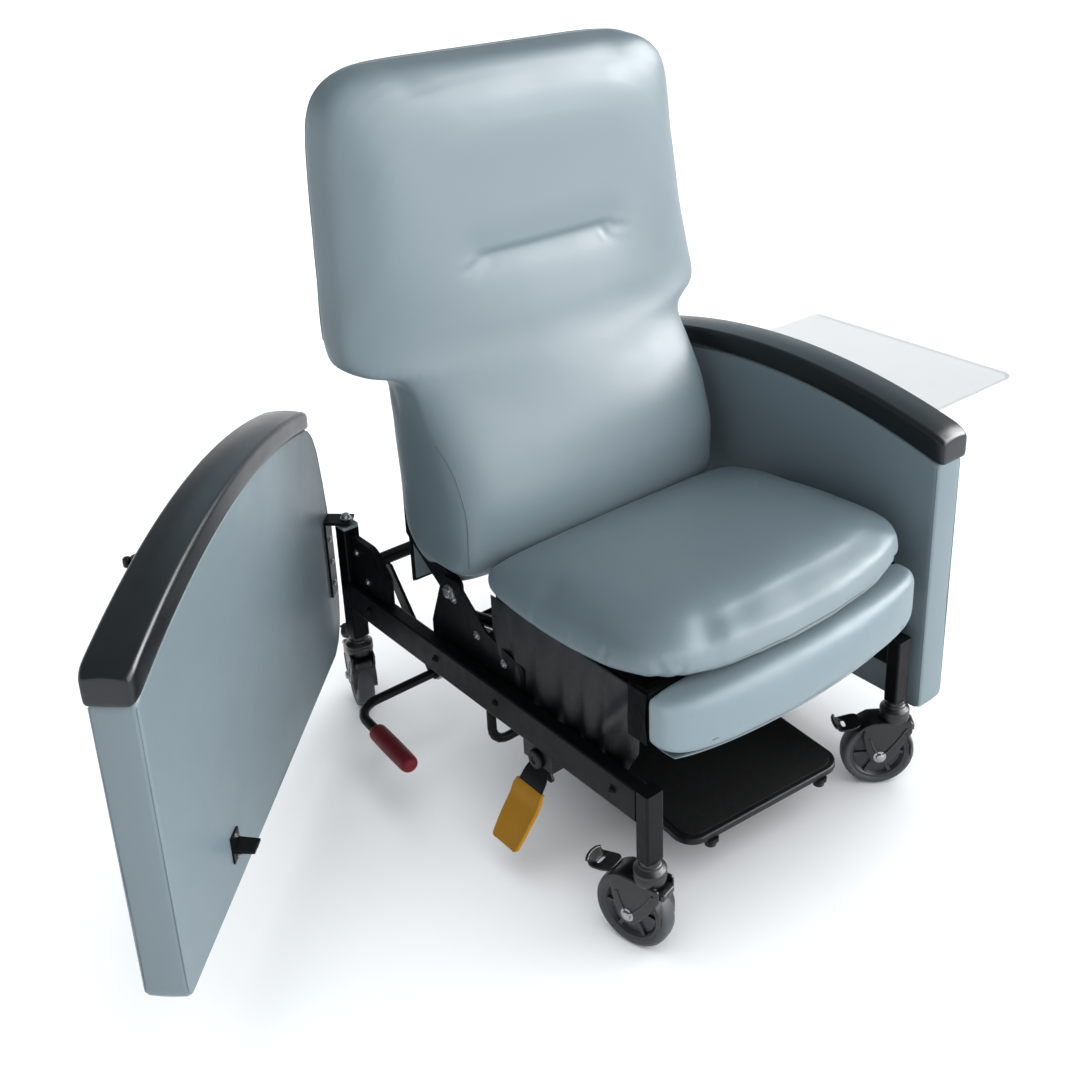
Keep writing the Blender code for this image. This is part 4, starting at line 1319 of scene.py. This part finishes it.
# side cloth with hanging folds, in front of each seat side
for side, s in SIDES:
    outline = fillet([(0.033, APRON_TOP), (-0.316, APRON_TOP), (-0.316, 0.315), (-0.285, APRON_LOW),
                      (-0.035, APRON_LOW), (0.033, 0.35)], [0.0, 0.0, 0.01, 0.01, 0.02, 0.02], 4)
    poly = [Vector(p) for p in outline]

    def inside(y, z):
        hit = False
        for i in range(len(poly)):
            a = poly[i]
            b = poly[i - 1]
            if (a.y > z) != (b.y > z) and y < (b.x - a.x) * (z - a.y) / (b.y - a.y) + a.x:
                hit = not hit
        return hit

    def low_edge(y):
        for k in range(80):
            z = APRON_LOW + (APRON_TOP - APRON_LOW) * k / 79
            if inside(y, z):
                return z
        return APRON_TOP

    def apron_point(u, v, layer):
        y = -0.3158 + (0.0328 + 0.3158) * u
        z0 = low_edge(y)
        z = z0 + (0.4198 - z0) * v
        hang = (1 - v) ** 0.8
        pleat = 0.0034 * math.sin(y * 118.0 + 0.8 * math.sin(y * 31.0)) * hang
        pleat += 0.012 * math.sin(math.pi * min(1.0, 1.25 * (1 - v))) ** 1.3 * math.exp(
            -((y + 0.25 + 0.1 * (v - 0.4)) / 0.017) ** 2)
        pleat += 0.001 * noise.noise(Vector((y * 20, z * 20, s)))
        return s * (0.2612 + 0.0034 * hang + max(-0.003, pleat) + 0.001 * layer), y, z
    verts, faces = shell(96, 40, apron_point)
    drape = add_mesh("apron_cloth_" + side, verts, faces, APRON)
    belong(drape, "frame", "side_apron_" + side)

    # fixings on the rail, posts, mechanism plates and gusset
    face = "+X" if s > 0 else "-X"
    for y in (-0.29, -0.01, 0.155, 0.36):
        bolt(f"rail_bolt_{side}_{int((y + 1) * 1000)}", s * 0.2967, y, 0.256, face, 0.0046, PAINT, "frame")
    for y, z in ((0.0, 0.31), (0.13, 0.37), (0.07, 0.33), (0.17, 0.26)):
        bolt(f"plate_bolt_{side}_{int((y + 1) * 1000)}", s * 0.2671, y, z, face, 0.005, STEEL, "frame")
    for y, z in ((0.37, 0.305), (0.4, 0.352)):
        bolt("gusset_bolt_%s_%d" % (side, int(z * 1000)), s * 0.2871, y, z, face, 0.0046, STEEL, "frame")
    pivot_cap = turned("back_pivot_" + side,
                       [(0, 0.0), (0.013, 0.0), (0.013, 0.003), (0.0118, 0.004), (0.0095, 0.0042),
                        (0.009, 0.0085), (0.007, 0.0098), (0, 0.01)], STEEL, "X", 28,
                       at(s * 0.2671, 0.14, 0.38) @ Matrix.Rotation(0 if s > 0 else math.pi, 4, "Z"))
    belong(pivot_cap, "frame")
    foot = turned("latch_hub_" + side,
                  [(0, 0.0), (0.015, 0.0), (0.016, 0.0014), (0.016, 0.006), (0.014, 0.0078),
                   (0.007, 0.0084), (0.0055, 0.0066), (0, 0.0066)], BLACK, "X", 28,
                  at(s * 0.2921, -0.11, 0.205) @ Matrix.Rotation(0 if s > 0 else math.pi, 4, "Z"))
    belong(foot, "frame")

# ------------------------------------------------------------------ springs, dampers and linkage
def coil(name, a, b, radius, wire, turns, mat, body):
    a = Vector(a)
    b = Vector(b)
    axis = (b - a).normalized()
    u = axis.orthogonal().normalized()
    v = axis.cross(u)
    pts = []
    steps = turns * 14
    for i in range(steps + 1):
        t = i / steps
        ang = 2 * math.pi * turns * t
        r = radius * min(1.0, 8 * t + 0.35, 8 * (1 - t) + 0.35)
        pts.append(a.lerp(b, t) + (u * math.cos(ang) + v * math.sin(ang)) * r)
    obj = tube(name, pts, wire, mat, 7)
    belong(obj, body)
    return obj


for side, s in SIDES:
    coil("return_spring_" + side, (s * 0.242, 0.055, 0.322), (s * 0.242, 0.175, 0.298), 0.008, 0.0013, 20,
         STEEL, "frame")
    damper = tube("gas_spring_" + side, [(s * 0.218, 0.04, 0.332), (s * 0.218, 0.205, 0.296)], 0.01,
                  PAINT, 20)
    rod = tube("gas_spring_rod_" + side, [(s * 0.218, 0.204, 0.2962), (s * 0.218, 0.228, 0.2908)], 0.0042,
               STEEL, 14)
    for obj in (damper, rod):
        belong(obj, "frame")
    link = slab("linkage_bar_" + side,
                fillet([(-0.03, 0.276), (0.165, 0.318), (0.165, 0.334), (-0.03, 0.292)], 0.007, 5), "X",
                [(s * 0.2575, 0.0008), (s * 0.2579, 0.0), (s * 0.2607, 0.0), (s * 0.2611, 0.0008)], PAINT, 45)
    belong(link, "frame")
for tag, y, z in (("front", 0.05, 0.332), ("rear", 0.19, 0.27)):
    bar = tube("cross_rod_" + tag, [(-0.2625, y, z), (0.2625, y, z)], 0.007, PAINT, 16)
    belong(bar, "frame")

# ------------------------------------------------------------------ release pedals
RINGS = ((.286, .19, -.11, .028), (.3, .168, -.108, .033), (.308, .148, -.104, .034),
         (.3125, .129, -.1, .034), (.33, .092, -.093, .033), (.344, .06, -.087, .03),
         (.3462, .055, -.0862, .026))
ped_x, ped_z, ped_y, ped_w = curves([(i, *row) for i, row in enumerate(RINGS)])


def pedal_strip(name, s, t0, t1, steps, thick, grow, lipped, mat):
    """Bent strip along the pedal's line, from station t0 to t1."""
    rings = []
    for i in range(steps + 1):
        t = t0 + (t1 - t0) * i / steps
        end = min(1.0, 6.0 * i / steps + 0.25, 6.0 * (steps - i) / steps + 0.25) if lipped else 1.0
        x = ped_x(t)
        z = ped_z(t)
        y = ped_y(t)
        w = (ped_w(t) + grow) * (0.93 + 0.07 * end)
        ta = max(0, t - 0.05)
        tb = min(6, t + 0.05)
        ahead = Vector((ped_x(tb) - ped_x(ta), 0, ped_z(tb) - ped_z(ta))).normalized()
        out = Vector((-ahead.z, 0, ahead.x))
        if out.x < 0:
            out = -out
        lip = 0.55 if lipped else 0.0
        ring = []
        rim = [(1.0, 0.5 + lip), (0.97, 0.85 + lip), (0.9, 1.0 + lip), (0.82, 1.0 + lip * 0.3), (0.6, 1.0)]
        for u, h in ([(-1.0, -0.6), (-0.97, -1.0), (-0.9, -1.0), (0.0, -1.0), (0.9, -1.0), (0.97, -1.0),
                      (1.0, -0.6)] + rim + [(0.0, 1.0)] + [(-u, h) for u, h in reversed(rim)]):
            p = Vector((x, y + u * w, z)) + out * (h * thick * (0.5 + 0.5 * end))
            ring.append((s * p.x, p.y, p.z))
        rings.append(ring)
    return loft(name, rings, mat, 60)


for side, s in SIDES:
    plate = pedal_strip("pedal_plate_" + side, s, 0.0, 5.6, 40, 0.0017, -0.006, False, PAINT)
    belong(plate, "pedal_" + side)
    pedal = pedal_strip("pedal_cover_" + side, s, 1.55, 6.0, 44, 0.0032, 0.0, True, YELLOW)
    belong(pedal, "pedal_" + side, "release_pedal_" + side)
    arm_link = slab("pedal_stem_" + side,
                    fillet([(-0.138, 0.166), (-0.084, 0.166), (-0.09, 0.185), (-0.13, 0.185)],
                           0.006, 4), "X",
                    [(s * 0.2795, 0.0012), (s * 0.2802, 0.0), (s * 0.285, 0.0), (s * 0.2857, 0.0012)],
                    BLACK, 45)
    belong(arm_link, "pedal_" + side)

# ------------------------------------------------------------------ lever grip
GRIP_LENGTH = 0.1228
along = Vector((-0.0055, -0.075, 0.0)).normalized()
grip_start = Vector((-0.3755, 0.235, 0.108)) + along * 0.0008
across = Vector((-along.y, along.x, 0.0))
rings = []
profile = [(0.0, 0.0098), (0.006, 0.0132), (0.02, 0.015), (0.05, 0.0158)]
for k in range(34):
    t = 0.08 + 0.8 * k / 33
    swell = 0.016 + 0.0006 * math.sin(k * math.pi / 33)
    groove = 0.0004 if k % 16 == 8 else 0.0
    profile.append((t, swell - groove))
profile += [(0.91, 0.0158), (0.95, 0.0148), (0.98, 0.0126), (0.993, 0.0092), (1.0, 0.004)]
for t, r in profile:
    c = grip_start + along * (GRIP_LENGTH * t)
    ring = []
    for k in range(28):
        a = 2 * math.pi * k / 28
        ring.append(tuple(c + across * (r * math.cos(a)) + Vector((0, 0, 0.92 * r * math.sin(a)))))
    rings.append(ring)
grip = loft("grip_sleeve", rings, RED, 50)
subdivide(grip)
belong(grip, "lever", "lever_grip")
boss = turned("lever_boss",
              [(0, -0.001), (0.015, -0.001), (0.0155, 0.0), (0.0155, 0.0062), (0.0145, 0.0074),
               (0.0105, 0.0078), (0.01, 0.013), (0.008, 0.0142), (0, 0.0144)], STEEL, "X", 28,
              at(-0.2016, 0.31, 0.108))
belong(boss, "frame")

# ------------------------------------------------------------------ foot tray
FOOT = turn_about(0.0, -0.2, -5.0)
edge = fillet([(-0.165, -0.338), (0.165, -0.338), (0.165, -0.062), (0.06, -0.062), (0.06, 0.22),
               (-0.06, 0.22), (-0.06, -0.062), (-0.165, -0.062)],
              [0.035, 0.035, 0.02, 0.004, 0.01, 0.01, 0.004, 0.02], 7)
levels = [(0.092, 0.005), (0.092, 0.0016), (0.093, 0.0004), (0.0942, 0.0), (0.1018, 0.0), (0.1032, 0.0006),
          (0.104, 0.0022), (0.104, 0.0036)]
foot = slab("foot_tray_plate", edge, "Z", levels, BLACK, 50, FOOT)
belong(foot, "foot_tray", "foot_tray")
top_edge = fillet(rectangle(-0.156, -0.329, 0.156, -0.07), [0.028, 0.028, 0.012, 0.012], 7)
mat_pad = slab("foot_tray_mat", top_edge, "Z",
               [(0.1037, 0.0), (0.1044, 0.0), (0.1049, 0.0008), (0.1051, 0.0022)], CLOTH, 50, FOOT)
belong(mat_pad, "foot_tray")
for tag, x in (("left", -0.115), ("right", 0.115)):
    runner = slab("foot_runner_" + tag,
                  fillet(rectangle(x - 0.011, -0.342, x + 0.011, -0.08), 0.006, 5), "Z",
                  [(0.083, 0.0022), (0.0836, 0.0006), (0.0846, 0.0), (0.0921, 0.0)], PAINT, 45, FOOT)
    belong(runner, "foot_tray")
    glide = turned("foot_glide_" + tag, [(0, 0.076), (0.007, 0.0762), (0.0092, 0.0776), (0.0096, 0.08),
                                         (0.0088, 0.0818), (0.006, 0.0824), (0.0056, 0.0838), (0, 0.0838)],
                   BLACK, "Z", 24, FOOT @ at(x, -0.331, 0))
    belong(glide, "foot_tray")
for tag, x in (("left", -0.068), ("right", 0.068)):
    for y in (-0.03, 0.17):
        bolt(f"channel_bolt_{tag}_{int((y + 1) * 1000)}", x * 0.62, y, 0.1182, "+Z", 0.004, STEEL,
             "frame", FOOT)

# ------------------------------------------------------------------ floor, light, camera
floor_mesh = bpy.data.meshes.new("studio_floor")
span = 26.0
n = 24
steps = [-span + 2 * span * i / n for i in range(n + 1)]
verts = [(x, y, 0.0) for x in steps for y in steps]
faces = [(i * (n + 1) + j, (i + 1) * (n + 1) + j, (i + 1) * (n + 1) + j + 1, i * (n + 1) + j + 1)
         for i in range(n) for j in range(n)]
floor_mesh.from_pydata(verts, [], faces)
FLOOR = surface("studio_floor_paint", (0.9, 0.905, 0.91), 0.75, 0.004, 0.05, (120, 0.02, "NOISE"), 0.8)
floor_mesh.materials.append(FLOOR)
floor = bpy.data.objects.new("studio_floor", floor_mesh)
bpy.context.scene.collection.objects.link(floor)

world = bpy.data.worlds.new("studio")
bpy.context.scene.world = world
world.use_nodes = True
wt = world.node_tree
sky = wt.nodes["Background"]
coord = wt.nodes.new("ShaderNodeTexCoord")
split = wt.nodes.new("ShaderNodeSeparateXYZ")
wt.links.new(coord.outputs["Generated"], split.inputs[0])
tone = ramp(wt, split.outputs["Z"], ((0.0, (0.97, 0.975, 0.98)), (0.1, (0.97, 0.975, 0.98)),
                                     (0.28, (0.28, 0.312, 0.34)), (1.0, (0.33, 0.37, 0.405))))
wt.links.new(tone, sky.inputs["Color"])
sky.inputs["Strength"].default_value = 1.0


def sun(name, toward, strength, angle, tint=(1, 1, 1)):
    light = bpy.data.lights.new(name, "SUN")
    light.energy = strength
    light.angle = math.radians(angle)
    light.color = tint
    obj = bpy.data.objects.new(name, light)
    obj.rotation_euler = Vector(toward).to_track_quat("Z", "Y").to_euler()
    bpy.context.scene.collection.objects.link(obj)
    return obj


key = sun("key_light", (0.5, -0.95, 0.42), 4.1, 62)
sheen = sun("sheen_light", (0.82, -0.3, 0.47), 6.5, 40)
sheen.visible_diffuse = False
floor_glow = sun("floor_light", (0.3, -0.15, 1.0), 4.1, 120)
lit_only = bpy.data.collections.new("floor_only")
lit_only.objects.link(floor)
floor_glow.light_linking.receiver_collection = lit_only
spared = bpy.data.collections.new("all_but_floor")
spared.objects.link(floor)
spared.collection_objects[0].light_linking.link_state = "EXCLUDE"
key.light_linking.receiver_collection = spared
sheen.light_linking.receiver_collection = spared
# soft light for the trays and the inner faces, and a cool reflection for the arm caps
for tag, starts, toward, strength, angle, tint in (
        ("tray_light", "tray_top_", (0.3, -0.15, 1.0), 0.8, 60, (1, 1, 1)),
        ("fill_light", ("seat_cushion", "arm_pad_right", "leg_rest_cover"), (-0.85, -0.35, 0.3), 0.5, 90,
         (1, 1, 1)),
        ("pad_light", "leg_rest_cover", (-0.95, -0.25, 0.2), 2.3, 60, (1, 1, 1)),
        ("cap_light", "arm_cap_skin_", (0.61, 0.58, 0.54), 0.3, 44, (0.62, 0.88, 1.0))):
    lamp = sun(tag, toward, strength, angle, tint)
    chosen = bpy.data.collections.new(tag + "_only")
    for obj in list(bpy.context.scene.objects):
        if obj.name.startswith(starts):
            chosen.objects.link(obj)
    lamp.light_linking.receiver_collection = chosen
    lamp.visible_diffuse = tag != "cap_light"

cam_data = bpy.data.cameras.new("camera")
cam_data.sensor_width = 36.0
cam_data.lens = 44.9367
cam_data.shift_x = -0.06064
cam_data.shift_y = -0.14338
cam_data.clip_end = 200.0
cam = bpy.data.objects.new("camera", cam_data)
bpy.context.scene.collection.objects.link(cam)
yaw = math.radians(-40.58762)
tilt = math.radians(22.55783)
roll = math.radians(-1.25634)
back_dir = Vector((math.sin(yaw) * math.cos(tilt), -math.cos(yaw) * math.cos(tilt), math.sin(tilt)))
right_dir = (-back_dir).cross(Vector((0, 0, 1))).normalized()
up_dir = right_dir.cross(-back_dir)
rx = right_dir * math.cos(roll) + up_dir * math.sin(roll)
uy = up_dir * math.cos(roll) - right_dir * math.sin(roll)
pose = Matrix((rx, uy, back_dir)).transposed().to_4x4()
pose.translation = Vector((-1.30724593, -1.4747768, 1.52867533)) + ORIGIN
cam.matrix_world = pose
bpy.context.scene.camera = cam
bpy.context.scene.view_settings.view_transform = "Standard"
